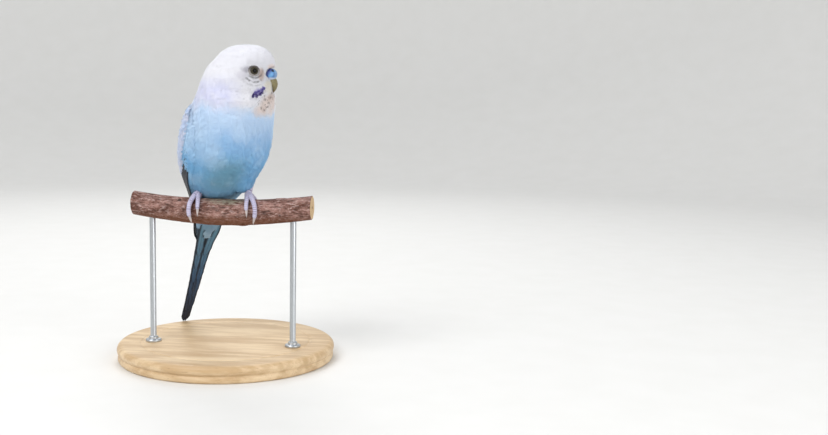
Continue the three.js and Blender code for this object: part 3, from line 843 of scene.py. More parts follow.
def rounded_body(step):
    """The flesh as one closed mesh: the cuts between its solids closed, sockets filled, facets smoothed."""
    source = bmesh.new()
    source.from_mesh(merged_solids(FLESH, TAIL_ROOT))
    for side in SIDES.values():
        place = Matrix.Translation(Vector(eye_middle(side)))
        bmesh.ops.create_icosphere(source, subdivisions=3, radius=EYE_RADIUS * MM, matrix=place)
    for x in FOOT_APART.values():
        place = Matrix.Translation(Vector(PERCH_MIDDLE + np.array((x * 0.94, 4.0, 15.6)) * MM))
        bmesh.ops.create_icosphere(source, subdivisions=3, radius=MM,
                                   matrix=place @ Matrix.Diagonal((2.7, 3.3, 4.9, 1)))
    mesh = bpy.data.meshes.new("flesh")
    source.to_mesh(mesh)
    source.free()
    host = new_object("flesh", mesh)
    swell = host.modifiers.new("close the cuts", "DISPLACE")
    swell.strength = 0.25 * MM
    swell.mid_level = 0
    remesh = host.modifiers.new("one surface", "REMESH")
    remesh.mode = "VOXEL"
    remesh.voxel_size = step
    found = evaluated_mesh(host)
    bpy.data.objects.remove(host)
    return found


def relaxed(points, edges, rounds):
    """Smooths facets away without shrinking the form much."""
    ends = np.concatenate([edges, edges[:, ::-1]])
    count = np.maximum(np.bincount(ends[:, 0], minlength=len(points)), 1)[:, None]
    for k in range(rounds):
        mean = [np.bincount(ends[:, 0], points[ends[:, 1], axis], len(points)) for axis in range(3)]
        mean = np.stack(mean, 1)
        pull = 0.55 if k % 2 == 0 else -0.56
        points = points + pull * (mean / count - points)
    return points


def distance_to(names, points):
    """How far points are from some of the frame's solids, in millimetres."""
    mesh = merged_solids(names)
    tree = BVHTree.FromPolygons([v.co for v in mesh.vertices], [tuple(p.vertices) for p in mesh.polygons])
    return np.array([tree.find_nearest(Vector(p))[3] for p in points]) / MM


def on_wing(points):
    return 1 - smooth(distance_to(("wing_left", "wing_right"), points), 0.35, 0.9)


def on_thigh(points):
    return 1 - smooth(distance_to(("leg_left", "leg_right"), points), 0.5, 5.0)


def from_bill(points):
    return np.linalg.norm(points - in_head(*BILL_ROOT), axis=1) / MM


def from_eye(points, side):
    return np.linalg.norm(points - in_head(*(EYE_PLACE * (1, side, 1))), axis=1) / MM


def from_perch(points):
    return np.linalg.norm((points - PERCH_MIDDLE)[:, 1:], axis=1) / MM


def coat_depth(points, wing):
    """Depth of the plumage in metres: thin on the face, wings and tail."""
    place, _ = body_places(points)
    depth = np.interp(from_bill(points), (4, 12, 24, 40), (0.3, 0.42, 0.75, 1.0))
    depth = depth * np.interp(place, (-70, -46, -30), (0.3, 0.5, 1.0))
    full = bpy.context.scene.budgerigar_coat.depth
    depth = depth * np.interp(from_perch(points), (8, 14), (0.35, 1.0))
    return full * (depth * (1 - wing) + np.interp(place, (-66, -50, -30), (0.12, 0.25, 0.42)) * wing)


def lie_of_coat(points, normals):
    """The way the feathers point: back from the bill on the head, down the body, down the legs."""
    body = smooth(from_bill(points), 20, 38)[:, None]
    thigh = on_thigh(points)[:, None]
    lie = unit(points - in_head(*BILL_ROOT)) * (1 - body) - (AXIS * (1 - thigh) + UP * thigh) * body
    for side in SIDES.values():
        away = points - in_head(*(EYE_PLACE * (1, side, 1)))
        lie = lie + unit(away) * (0.9 * (1 - smooth(from_eye(points, side), 2.5, 5.5)))[:, None]
    lie = lie - normals * (lie * normals).sum(1, keepdims=True)
    return unit(lie)


def feather_length(points):
    """Length of the feathers in metres: smallest on the face."""
    share = np.interp(from_bill(points), (3, 9, 18, 32, 60), (0.17, 0.24, 0.42, 0.72, 1.0))
    for side in SIDES.values():
        share = share * np.interp(from_eye(points, side), (2.5, 6), (0.5, 1.0))
    share = share * (1 - 0.25 * on_thigh(points) * (1 - smooth(from_perch(points), 12, 18)))
    return share * bpy.context.scene.budgerigar_coat.length


def coat_regions(points, wing):
    """How much each point belongs to each region of the coat; eyes, bill and perch stay clear."""
    place, angle = body_places(points)
    to_bill = from_bill(points)
    to_cere = (np.stack(head_places(points), 1) - CERE_MIDDLE) / CERE_RADII
    clear = smooth(np.linalg.norm(to_cere, axis=1), 0.98, 1.06)
    for side in SIDES.values():
        offset = (points - eye_middle(side)) / MM
        beside = np.linalg.norm(offset - np.outer(offset @ eye_outward(side), eye_outward(side)), axis=1)
        near = np.linalg.norm(offset, axis=1) < 8
        clear = clear * np.where(near, smooth(beside, 2.4, 2.6), 1)
    clear = clear * smooth(from_perch(points), 7.6, 8.6) * (1 - wing)
    to_eye = np.minimum(*[np.linalg.norm(points - eye_middle(side), axis=1) / MM for side in SIDES.values()])
    face = np.maximum(1 - smooth(to_bill, 11, 14), 1 - smooth(to_eye, 6.5, 9.5))
    crown = (1 - face) * (1 - smooth(to_bill, 23, 28))
    tail_line = np.minimum(np.minimum(abs(angle), 180 - abs(angle)) * 0.5, 12) - 64.5
    clear = clear * smooth(place, tail_line, tail_line + 1.5)
    body = 1 - face - crown
    neck = body * smooth(place, 6, 12)
    rest = body - neck
    back = rest * smooth(abs(angle), 96, 112)
    breast = (rest - back) * smooth(place, -14, -8)
    belly = rest - back - breast
    return {name: clear * share for name, share in
            {"face": face, "crown": crown, "neck": neck, "breast": breast, "belly": belly,
             "back": back}.items()}


def lid_rings(side):
    """The folds of bare skin round an eye, as closed rings."""
    middle, out = eye_middle(side), eye_outward(side)
    first = unit(np.cross(out, UP))
    second = np.cross(out, first)
    parts = []
    for reach, height, thick in ((2.12, 2.16, 0.17), (2.4, 2.1, 0.2), (2.7, 1.9, 0.27)):
        rings = []
        for turn in np.linspace(0, 2 * math.pi, 108, endpoint=False):
            radial = first * math.cos(turn) + second * math.sin(turn)
            bead = thick * (1 + 0.22 * math.sin(turn * 36) + 0.12 * math.sin(turn * 11))
            around = np.linspace(0, 2 * math.pi, 12, endpoint=False)
            lidded = reach * (1.03 + 0.05 * math.cos(2 * turn) - 0.07 * max(0.0, math.sin(turn)) ** 2)
            centre = middle + (radial * lidded + out * height) * MM
            ring = np.outer(np.cos(around), radial) + np.outer(np.sin(around), out)
            rings.append(centre + ring * bead * MM)
        rings = np.array(rings)
        faces = sheet_faces(*rings.shape[:2], True, True)
        parts.append((rings.reshape(-1, 3), faces, np.full(rings.size // 3, -1.0)))
    return parts


def unwrap_place(points):
    """The skin laid flat: round the body and along its axis, each from 0 to 1."""
    place, angle = body_places(points)
    return np.stack([angle / 360 + 0.5, np.clip((place + 125) / 182, 0, 1)], 1)


def write_skin_map(mesh, body_vertices, parts):
    """The skin's own map: the body unrolled on the left, the feet's and lids' forms on the right."""
    corners = read_all(mesh.loops, "vertex_index", kind=np.int32)
    at = unwrap_place(mesh_points(mesh))[corners]
    starts = read_all(mesh.polygons, "loop_start", kind=np.int32)
    totals = read_all(mesh.polygons, "loop_total", kind=np.int32)
    face_of = np.repeat(np.arange(len(starts)), totals)
    low = np.minimum.reduceat(at[:, 0], starts)[face_of]
    high = np.maximum.reduceat(at[:, 0], starts)[face_of]
    at[:, 0] += ((high - low > 0.5) & (at[:, 0] < 0.5)) * 1.0
    at[:, 0] *= 0.76
    first = body_vertices
    for k, (points, _, _) in enumerate(parts):
        inside = (corners >= first) & (corners < first + len(points))
        local = points[corners[inside] - first]
        spread = np.linalg.svd(local - local.mean(0), full_matrices=False)[2][:2]
        place = (local - local.mean(0)) @ spread.T
        place = (place - place.min(0)) / np.ptp(place, axis=0)
        column, row = divmod(k, 8)
        at[inside] = np.array((0.8 + 0.1 * column, 0.125 * row)) + 0.008 + place * (0.084, 0.109)
        first += len(points)
    layer = mesh.uv_layers.new(name="OFBake")
    layer.uv.foreach_set("vector", np.clip(at, 0, 1).astype(np.float32).ravel())


class BUDGERIGAR_OT_skin(bpy.types.Operator):
    """Builds the one skin that lies under the coat, with bare feet and lids."""

    bl_idname = "budgerigar.skin"
    bl_label = "Skin"

    def execute(self, context):
        body = rounded_body(context.scene.budgerigar_coat.voxel)
        edges = read_all(body.edges, "vertices", 2, np.int32)
        points = relaxed(mesh_points(body), edges, 40)
        body.vertices.foreach_set("co", points.astype(np.float32).ravel())
        body.update()
        outline = new_object("coat_outline", body)
        normals = read_all(body.vertex_normals, "vector", 3).astype(float)
        wing = on_wing(points)
        depth = coat_depth(points, wing)
        under = points - normals * depth[:, None]
        faces = [tuple(p.vertices) for p in body.polygons]
        parts = [part for side in SIDES.values() for part in foot_parts(side) + lid_rings(side)]
        vertices, scute = [under], [np.zeros(len(under))]
        count = len(under)
        bare_from = len(faces)
        for part_points, part_faces, part_scute in parts:
            faces += [tuple(count + k for k in face) for face in part_faces]
            vertices.append(part_points)
            scute.append(part_scute)
            count += len(part_points)
        skin = new_piece("skin", np.concatenate(vertices), faces, new_material(
            "skin under feathers", skin_paint, roughness=0.9))
        skin.data.materials.append(new_material("bare skin", bare_skin_paint, specular_ior_level=0.4))
        slots = np.zeros(len(faces), np.int32)
        slots[bare_from:] = 1
        skin.data.polygons.foreach_set("material_index", slots)
        outward(skin)
        write_attribute(skin.data, "scute", np.concatenate(scute))
        write_skin_map(skin.data, len(under), parts)
        write_attribute(body, "coat_depth", depth)
        write_attribute(body, "under", under, "FLOAT_VECTOR")
        write_attribute(body, "out", normals, "FLOAT_VECTOR")
        write_attribute(body, "lie", lie_of_coat(points, normals), "FLOAT_VECTOR")
        write_attribute(body, "length", feather_length(points))
        for name, share in coat_regions(points, wing).items():
            write_attribute(body, "coat_" + name, share)
        outline.hide_render = True
        finish_piece(skin, "foot_skin", *FLESH, "foot_left", "foot_right")
        return {"FINISHED"}


# Coat


def vane_shape(name, columns, rows, barb_from, sharpness, rounding):
    """A feather lying along +Y from the origin, 1 long and 1 wide, its tip split into barbs."""
    across = np.linspace(-1, 1, columns + 1)
    solid = np.linspace(0, barb_from, rows + 1)
    points, faces, along, side = [], [], [], []

    def half_width(v):
        return 0.5 * (0.3 + 0.7 * float(smooth(v, 0, 0.5))) * (1 + 0.12 * float(smooth(v, 0.6, 1)))

    def tip_at(a):
        return 1 - rounding * abs(a) ** 2.2

    def add(a, v):
        clipped = (1 - tip_at(a)) * min(1, v / max(barb_from, 0.01)) * 0.5
        points.append((a * half_width(v), v * (1 - clipped), 0))
        along.append(v)
        side.append(a)
        return len(points) - 1

    grid = [[add(a, v) for a in across] for v in solid]
    for lower, upper in zip(grid, grid[1:]):
        for k in range(columns):
            faces.append((lower[k], lower[k + 1], upper[k + 1], upper[k]))
    for k in range(columns):
        middle = (across[k] + across[k + 1]) / 2
        width = (across[1] - across[0]) / 2
        end = tip_at(middle)
        end -= 0.09 * ((k * 7) % 4) / 3
        half = barb_from + (end - barb_from) * 0.45
        left = add(middle - width * sharpness, half)
        right = add(middle + width * sharpness, half)
        tip = add(middle * 1.04, end)
        faces.append((grid[-1][k], grid[-1][k + 1], right, left))
        faces.append((left, right, tip))
    shape = new_piece(name, points, faces)
    write_attribute(shape.data, "along", along)
    write_attribute(shape.data, "across", side)
    return shape


def feather_tree():
    """The node group that grows feathers: roots, one vane at each, then each vane laid on the form."""
    tree = bpy.data.node_groups.new("lay feathers", "GeometryNodeTree")
    kinds = {"Geometry": "Geometry", "Form": "Object", "Vane": "Object", "Region": "String",
             "Spacing": "Float", "Breadth": "Float", "Sway": "Float", "Lift": "Float",
             "Height": "Float",
             "Scattered": "Bool", "Seed": "Int", "Material": "Material"}
    for name, kind in kinds.items():
        tree.interface.new_socket(name, in_out="INPUT", socket_type="NodeSocket" + kind)
    tree.interface.new_socket("Geometry", in_out="OUTPUT", socket_type="NodeSocketGeometry")
    g = Graph(tree)
    entry = tree.nodes.new("NodeGroupInput")
    given = {name: Value(g, entry.outputs[name]) for name in kinds}

    def named(name, kind="FLOAT_VECTOR"):
        return g.add("GeometryNodeInputNamedAttribute", {"data_type": kind}, {"Name": name})

    def random(low, high, offset):
        inputs = {2: low, 3: high, "Seed": given["Seed"] + offset}
        return g.add("FunctionNodeRandomValue", {"data_type": "FLOAT"}, inputs, 1)

    def stored(points, name, value, kind="FLOAT_VECTOR"):
        settings = {"data_type": kind, "domain": "POINT"}
        inputs = {"Geometry": points, "Name": name, "Value": value}
        return g.add("GeometryNodeStoreNamedAttribute", settings, inputs)

    density = g.math("DIVIDE", 1.6, given["Spacing"] * given["Spacing"])
    spread = g.add("GeometryNodeDistributePointsOnFaces", {"distribute_method": "POISSON"}, {
        "Mesh": given["Geometry"], "Distance Min": given["Spacing"], "Density Max": density,
        "Density Factor": named(given["Region"], "FLOAT"), "Seed": given["Seed"]})
    listed = g.add("GeometryNodeMeshToPoints", {}, {"Mesh": given["Geometry"]})
    roots = g.add("GeometryNodeSwitch", {"input_type": "GEOMETRY"}, {
        "Switch": given["Scattered"], "False": listed, "True": spread})
    place = g.add("GeometryNodeInputPosition")
    mark = g.vector("ADD", place, g.scaled(named("lie"), named("length", "FLOAT") * 0.6))
    roots = stored(roots, "root", place)
    roots = stored(roots, "mark", mark)
    roots = stored(roots, "shade", random(0.0, 1.0, 1), "FLOAT")
    upright = g.add("FunctionNodeAlignRotationToVector", {"axis": "Z"}, {"Vector": named("out")})
    turned = g.add("FunctionNodeAlignRotationToVector", {"axis": "Y", "pivot_axis": "Z"}, {
        "Rotation": upright, "Vector": named("lie")})
    sway = random(-1.0, 1.0, 2) * given["Sway"]
    swing = g.add("FunctionNodeEulerToRotation", {}, {
        0: g.add("ShaderNodeCombineXYZ", {}, {"Z": sway})})
    turned = g.add("FunctionNodeRotateRotation", {"rotation_space": "LOCAL"}, {0: turned, 1: swing})
    length = named("length", "FLOAT") * random(0.82, 1.16, 3)
    size = g.point(length * given["Breadth"], length, length)
    vane = g.add("GeometryNodeObjectInfo", {}, {"Object": given["Vane"]}, "Geometry")
    feathers = g.add("GeometryNodeInstanceOnPoints", {}, {
        "Points": roots, "Instance": vane, "Rotation": turned, "Scale": size})
    feathers = g.add("GeometryNodeRealizeInstances", {}, {"Geometry": feathers})
    form = g.add("GeometryNodeObjectInfo", {}, {"Object": given["Form"]}, "Geometry")

    def sampled(value, kind):
        inputs = {"Mesh": form, "Value": value, "Sample Position": place}
        return g.add("GeometryNodeSampleNearestSurface", {"data_type": kind}, inputs)

    along = named("along", "FLOAT")
    across = named("across", "FLOAT")
    rise = along.ramp(-0.25, 1.0) ** 0.8 + (named("shade", "FLOAT") - 0.5) * given["Lift"] * along
    rise = rise - across * across * 0.07
    depth = sampled(named("coat_depth", "FLOAT"), "FLOAT")
    laid = g.vector("ADD", sampled(named("under"), "FLOAT_VECTOR"),
                    g.scaled(sampled(named("out"), "FLOAT_VECTOR"), depth * rise * given["Height"]))
    feathers = g.add("GeometryNodeSetPosition", {}, {"Geometry": feathers, "Position": laid})
    feathers = g.add("GeometryNodeSetMaterial", {}, {"Geometry": feathers, "Material": given["Material"]})
    leave = tree.nodes.new("NodeGroupOutput")
    tree.links.new(feathers.socket, leave.inputs[0])
    return tree


def grow(name, roots, tree, **inputs):
    """A piece of feathers grown on a mesh of roots, or scattered over a form, as a plain mesh."""
    host = new_object(name + "_host", roots)
    modifier = host.modifiers.new("feathers", "NODES")
    modifier.node_group = tree
    for item in tree.interface.items_tree:
        if item.in_out == "INPUT" and item.name in inputs:
            modifier[item.identifier] = inputs[item.name]
    mesh = evaluated_mesh(host)
    bpy.data.objects.remove(host)
    mesh.name = name
    mesh.shade_smooth()
    write_tuft_map(mesh)
    return new_object(name, mesh)


TUFT_PATCH = 0.003


def write_tuft_map(mesh):
    """Each feather a small patch at its root's place on the unrolled skin."""
    flat = unwrap_place(read_attribute(mesh, "root", 3))
    low, high = flat.min(0), flat.max(0)
    flat = 0.005 + (flat - low) / np.maximum(high - low, 1e-6) * 0.987
    local = np.stack([read_attribute(mesh, "across") * 0.5, read_attribute(mesh, "along") - 0.5], 1)
    write_map(mesh, flat + local * TUFT_PATCH)


COAT = {
    "face": {"spacing": 0.31, "breadth": 0.46, "vane": "down", "sway": 0.16, "slot": "plumage_white"},
    "crown": {"spacing": 0.55, "breadth": 0.42, "vane": "short", "sway": 0.12, "slot": "plumage_white"},
    "neck": {"spacing": 0.72, "breadth": 0.46, "vane": "short", "sway": 0.12, "slot": "plumage_white"},
    "breast": {"spacing": 0.8, "breadth": 0.46, "vane": "contour", "sway": 0.12, "slot": "plumage_blue"},
    "belly": {"spacing": 0.8, "breadth": 0.46, "vane": "contour", "sway": 0.14, "slot": "plumage_blue"},
    "back": {"spacing": 0.8, "breadth": 0.5, "vane": "contour", "sway": 0.1, "slot": "plumage_blue"},
}


class BUDGERIGAR_OT_coat(bpy.types.Operator):
    """Grows the small feathers over the skin, region by region."""

    bl_idname = "budgerigar.coat"
    bl_label = "Coat"

    def execute(self, context):
        look = context.scene.budgerigar_coat
        form = bpy.data.objects["coat_outline"]
        vanes = {
            "down": vane_shape("down_shape", 4, 1, 0.4, 0.62, 0.3),
            "short": vane_shape("short_shape", 8, 1, 0.45, 0.66, 0.3),
            "contour": vane_shape("contour_shape", 12, 2, 0.52, 0.7, 0.28),
        }
        material = new_material("plumage", coat_paint, roughness=0.8, specular_ior_level=0.25,
                                sheen_weight=0.15, sheen_roughness=0.6)
        tree = feather_tree()
        for k, (region, kind) in enumerate(COAT.items()):
            piece = grow("coat_" + region, form.data, tree, Form=form, Vane=vanes[kind["vane"]],
                         Region="coat_" + region, Spacing=kind["spacing"] * MM / look.closeness,
                         Breadth=kind["breadth"], Sway=kind["sway"], Lift=0.3, Height=1.0, Scattered=True,
                         Seed=look.seed + k, Material=material)
            finish_piece(piece, kind["slot"])
        for shape in vanes.values():
            bpy.data.objects.remove(shape)
        return {"FINISHED"}


# Wings and tail

# Places along the axis with the wing's lower and upper edge there, as angles from the belly
WING_EDGES = np.array(((19, 96, 118), (12, 85, 146), (0, 80, 166), (-12, 83, 172), (-24, 94, 175),
                       (-38, 103, 176), (-52, 104, 176), (-62, 112, 174), (-69, 136, 168)), float)[::-1]
# Radius of the body's curve round the axis at places along it, for vanes to bend by
BODY_CURVE = np.array(((-70, 5.5), (-46, 8.5), (-28, 14), (0, 20), (19, 19)), float)
VANE_THICKNESS = 0.1


def wing_angle(place, share):
    low = np.interp(place, WING_EDGES[:, 0], WING_EDGES[:, 1])
    high = np.interp(place, WING_EDGES[:, 0], WING_EDGES[:, 2])
    return low + (high - low) * share


def body_radius(place):
    return np.interp(place, BODY_CURVE[:, 0], BODY_CURVE[:, 1])


def wing_width(place):
    """Width of the folded wing round the body, in millimetres."""
    return body_radius(place) * math.radians(wing_angle(place, 1) - wing_angle(place, 0))


def form_tree(mesh):
    return BVHTree.FromPolygons([v.co for v in mesh.vertices], [tuple(p.vertices) for p in mesh.polygons])


def on_form(tree, place, angle):
    """The outermost point of a form at a place along the body and an angle round it, and its normal."""
    turn = math.radians(angle)
    away = BELLY * math.cos(turn) + LEFT * math.sin(turn)
    middle = WAIST + AXIS * place * MM
    hit, normal, _, _ = tree.ray_cast(Vector(middle + away * 60 * MM), Vector(-away))
    if hit is None:
        hit, normal, _, _ = tree.find_nearest(Vector(middle + away * 8 * MM))
    return np.array(hit), np.array(normal)


def feather_outline(v, a, root_width, point, rounding):
    """Half width of a long feather, as a part of its greatest, and how far along its end there is."""
    body = root_width + (1 - root_width) * smooth(v, 0, 0.28)
    closing = np.clip((1 - v) / point, 0, 1)
    return body * closing ** 0.55, 1 - rounding * a * a


def closed_vane(top, below):
    """A thin closed vane from rows of points on its upper side and the way down to its underside."""
    rows, columns = top.shape[0], top.shape[1] - 1
    count = rows * (columns + 1)
    points = np.concatenate([top.reshape(-1, 3), (top + below).reshape(-1, 3)])
    faces = sheet_faces(rows, columns + 1)
    faces += [tuple(count + k for k in reversed(face)) for face in faces]
    rim = [c for c in range(columns + 1)] + [r * (columns + 1) + columns for r in range(1, rows)]
    rim += [(rows - 1) * (columns + 1) + c for c in range(columns - 1, -1, -1)]
    rim += [r * (columns + 1) for r in range(rows - 2, 0, -1)]
    for first, second in zip(rim, rim[1:] + rim[:1]):
        faces.append((second, first, count + first, count + second))
    along = np.repeat(np.linspace(0, 1, rows), columns + 1)
    across = np.tile(np.linspace(-1, 1, columns + 1), rows)
    return points, faces, {"along": np.tile(along, 2), "across": np.tile(across, 2)}


def vane(line, normals, half_width, curve, heights, root_width=0.5, point=0.2, rounding=0.02, columns=8):
    """A vane along a line, bent round the body. Heights gives each row's rise at both edges."""
    line = np.asarray(line)
    tangents = unit(np.gradient(line, axis=0))
    normals = unit(normals - tangents * (normals * tangents).sum(1, keepdims=True))
    across = np.cross(normals, tangents)
    v = np.linspace(0, 1, len(line))[:, None]
    a = np.linspace(-1, 1, columns + 1)[None]
    width, end = feather_outline(v, a, root_width, point, rounding)
    x = a * half_width * width * (1 + 0.02 * np.sin(v * 90 + a * 3))
    low, high = heights
    rise = low + (high - low) * (a + 1) / 2 - x * x / (2 * np.asarray(curve).reshape(-1, 1))
    back = (1 - end) * v * np.linalg.norm(line[-1] - line[0])
    top = (line[:, None] + across[:, None] * (x * MM)[..., None] + normals[:, None] * (rise * MM)[..., None]
           - tangents[:, None] * back[..., None])
    return closed_vane(top, -normals[:, None] * VANE_THICKNESS * MM)


def vane_piece(name, vanes, material, marks):
    """Joins vanes into one piece; each has a place of its own on the piece's map."""
    points, faces, values = [], [], {key: [] for key in ("along", "across", *marks)}
    count = 0
    cells = math.ceil(math.sqrt(len(vanes)))
    maps = []
    for k, (vane_points, vane_faces, spread, mark) in enumerate(vanes):
        points.append(vane_points)
        faces += [tuple(count + j for j in face) for face in vane_faces]
        count += len(vane_points)
        for key, value in {**spread, **mark}.items():
            values[key].append(np.broadcast_to(value, len(vane_points)))
        row, column = divmod(k, cells)
        local = np.stack([spread["across"] * 0.22 + 0.25, spread["along"] * 0.94 + 0.03], 1)
        local[len(local) // 2:, 0] += 0.5
        maps.append((np.array((column, row)) + local) / cells)
    piece = new_piece(name, np.concatenate(points), faces, material)
    for key, value in values.items():
        write_attribute(piece.data, key, np.concatenate(value))
    write_map(piece.data, np.concatenate(maps))
    return outward(piece)


def wing_sheet(tree, side):
    """The form under a wing as smoothed distances from the body's axis, over places and angles."""
    reach = np.empty((len(SHEET_PLACES), len(SHEET_ANGLES)))
    for i, place in enumerate(SHEET_PLACES):
        solid = max(place, TAIL_ROOT + 3)
        for j, angle in enumerate(SHEET_ANGLES):
            point, _ = on_form(tree, solid, side * angle)
            reach[i, j] = np.linalg.norm(point - WAIST - AXIS * solid * MM) / MM
        reach[i] *= np.interp(place, (-74, solid), (0.75, 1))
    for _ in range(5):
        padded = np.pad(reach, 1, mode="edge")
        beside = padded[:-2, 1:-1] + padded[2:, 1:-1] + padded[1:-1, :-2] + padded[1:-1, 2:]
        reach = (beside + 2 * reach) / 6
    return reach


def over_sheet(reach, side, places, angles, heights):
    """Points at heights in millimetres over a wing's sheet."""
    i = np.clip((places - SHEET_PLACES[0]) / SHEET_PLACE_STEP, 0, len(SHEET_PLACES) - 1.001)
    j = np.clip((angles - SHEET_ANGLES[0]) / SHEET_ANGLE_STEP, 0, len(SHEET_ANGLES) - 1.001)
    row, column = i.astype(int), j.astype(int)
    u, v = i - row, j - column
    near = reach[row, column] * (1 - v) + reach[row, column + 1] * v
    far = reach[row + 1, column] * (1 - v) + reach[row + 1, column + 1] * v
    distance = near * (1 - u) + far * u + heights
    turn = np.radians(angles) * side
    away = np.cos(turn)[..., None] * BELLY + np.sin(turn)[..., None] * LEFT
    return WAIST + (AXIS * places[..., None] + away * distance[..., None]) * MM


def long_feather(reach, side, root, tip, half_width, lift, point, rounding=0.02, dip=0.0,
                 clearing=(0.25, 0.55)):
    """A wing feather from one place and share of the wing's width to another."""
    ways = np.linspace(0, 1, 34)
    places = root[0] + (tip[0] - root[0]) * ways
    shares = root[1] + (tip[1] - root[1]) * ways ** (1.3 + 10 * dip)
    angles = wing_angle(places, shares - dip * np.sin(math.pi * ways))
    radii = body_radius(places)
    heading = unit(np.stack([np.gradient(places), np.gradient(np.radians(angles)) * radii], 1))
    v = ways[:, None]
    a = np.linspace(-1, 1, 9)[None]
    width, end = feather_outline(v, a, 0.5, point, rounding)
    x = a * half_width * width * (1 + 0.02 * np.sin(v * 90 + a * 3))
    back = (1 - end) * v * abs(tip[0] - root[0])
    at_place = places[:, None] + heading[:, 1:] * x - heading[:, :1] * back
    at_angle = angles[:, None] - np.degrees((heading[:, :1] * x + heading[:, 1:] * back) / radii[:, None])
    clear = smooth(v, *clearing)
    heights = (lift[0] + (lift[1] - lift[0]) * (1 - a) / 2) * (0.35 + 0.65 * clear) - 0.5 * (1 - clear)
    top = over_sheet(reach, side, at_place, at_angle, heights)
    under = over_sheet(reach, side, at_place, at_angle, heights - VANE_THICKNESS)
    points, faces, spread = closed_vane(top, under - top)
    spread["across"] = -spread["across"]
    return points, faces, spread


SHEET_PLACE_STEP = 1.5
SHEET_ANGLE_STEP = 3.5
SHEET_PLACES = np.arange(-78, 25, SHEET_PLACE_STEP)
SHEET_ANGLES = np.arange(56, 200, SHEET_ANGLE_STEP)
PRIMARY_TIPS = (-66, -69, -69, -67, -63, -59, -55.5, -52, -49, -46)
SECONDARIES = 9
# Rows of coverts: place at the wing's lower edge, feather length and spacing in millimetres
COVERT_ROWS = ((19.5, 3.6, 1.8), (17.8, 3.6, 1.8), (16.1, 3.8, 1.85), (14.4, 3.9, 1.9), (12.6, 4.1, 1.95),
               (10.7, 4.3, 2.0), (8.7, 4.6, 2.1), (6.6, 4.9, 2.2), (4.4, 5.3, 2.3), (2.1, 5.8, 2.45),
               (-0.4, 6.4, 2.6), (-3.2, 7.4, 2.8), (-6.6, 10.0, 3.0), (-11.0, 12.5, 3.2))
COVERT_SLANT = 7.0
RECTRIX_TIPS = (-126, -118.5, -108, -97, -87, -77)
RECTRIX_ROOT = -52
# Places along the tail with its half width, depth to the belly side, to the back, and shift
TAIL_SIZES = np.array(((-126, 2.5, 0.5, 0.5, -0.4), (-112, 2.8, 0.6, 0.6, 0.2), (-96, 3.4, 0.75, 0.8, 0.6),
                       (-80, 4.0, 0.95, 1.1, 0.6), (-67, 4.9, 1.9, 2.0, 0.6), (-56, 6.4, 4.0, 3.4, 0.6),
                       (-46, 8.0, 5.0, 4.6, 0.4)), float)


def covert_roots(tree, side, rng):
    """A mesh of points, one for each covert of a wing, that carries where and how it lies."""
    found = []
    for row, (start, length, spacing) in enumerate(COVERT_ROWS):
        count = max(3, int(wing_width(start) / spacing))
        for k in range(count):
            share = 0.1 + 0.93 * (k + 0.5 + 0.5 * (row % 2)) / (count + 0.5)
            place = start - COVERT_SLANT * share + rng.uniform(-0.25, 0.25)
            if place > 18.5 or share > 1.02:
                continue
            point, out = on_form(tree, place, side * wing_angle(place, share))
            after, _ = on_form(tree, place - 4, side * wing_angle(place - 4, share * 0.97))
            outer = np.interp(share, (0.08, 0.4), (0.55, 1.0)) if start < -3 else 1.0
            size = length * outer * rng.uniform(0.94, 1.06) * MM
            marked = 0.14 + 0.86 * smooth(share, 0.22, 0.45)
            dark = marked * rng.uniform(0.75, 1.0) * (1 - 0.45 * smooth(place, 4, 16))
            found.append((point, out, unit(after - point), size, dark))
    return root_mesh("covert_roots", found)


def mantle_roots(tree, rng):
    """Rows of marked feathers over the upper back, between the upper edges of the wings."""
    found = []
    for row, place in enumerate(np.arange(21.5, -22, -1.9)):
        reach = 180 - wing_angle(place, 1) + 10
        step = math.degrees(np.interp(place, (-20, 20), (2.4, 1.8)) / body_radius(place))
        for angle in np.arange(180 - reach + step * 0.5 * (row % 2), 180 + reach, step):
            at = place - 1.5 * abs(angle - 180) / 60 + rng.uniform(-0.25, 0.25)
            point, out = on_form(tree, at, angle)
            after, _ = on_form(tree, at - 4, angle)
            length = np.interp(at, (-20, 20), (5.6, 3.4)) * rng.uniform(0.94, 1.06)
            dark = rng.uniform(0.7, 0.95) * (1 - 0.6 * smooth(at, 10, 21)) * smooth(at, -20, -12)
            found.append((point, out, unit(after - point), length * MM, dark))
    return root_mesh("mantle_roots", found)


def edge_roots(tree, side, rng, flank):
    """Small feathers along the wing's front edge: the body's own over its near part, and pale ones."""
    found = []
    for row, place in enumerate(np.arange(18.5, -42 if flank else -31, -1.15)):
        near = np.interp(place, (-40, -22, -8, 12), (-0.03, 0.02, 0.06, 0.1))
        start = near - 0.26 if flank else max(near, np.interp(place, (-31, -23, -12), (0.16, 0.12, 0.0)))
        end = near + 0.02 if flank else np.interp(place, (-31, -22, -12, 19), (0.18, 0.18, 0.22, 0.26))
        step = 0.8 / wing_width(place)
        for share in np.arange(start + step * 0.5 * (row % 2), end, step):
            share += rng.uniform(-0.2, 0.2) * step
            point, out = on_form(tree, place, side * wing_angle(place, share))
            after, _ = on_form(tree, place - 3, side * wing_angle(place - 3, share))
            length = np.interp(place, (-20, 19), (5.2, 3.4)) * rng.uniform(0.9, 1.1)
            found.append((point, out, unit(after - point), length * MM, 0.0))
    return root_mesh("edge_roots", found)


def grid_map(obj, vertices_each):
    """Gives each vane of a joined piece a cell of its own on the map."""
    mesh = obj.data
    along, across = read_attribute(mesh, "along"), read_attribute(mesh, "across")
    index = np.arange(len(mesh.vertices)) // vertices_each
    cells = math.ceil(math.sqrt(index[-1] + 1))
    local = np.stack([across * 0.45 + 0.5, along * 0.9 + 0.05], 1)
    write_map(mesh, (np.stack([index % cells, index // cells], 1) + local) / cells)


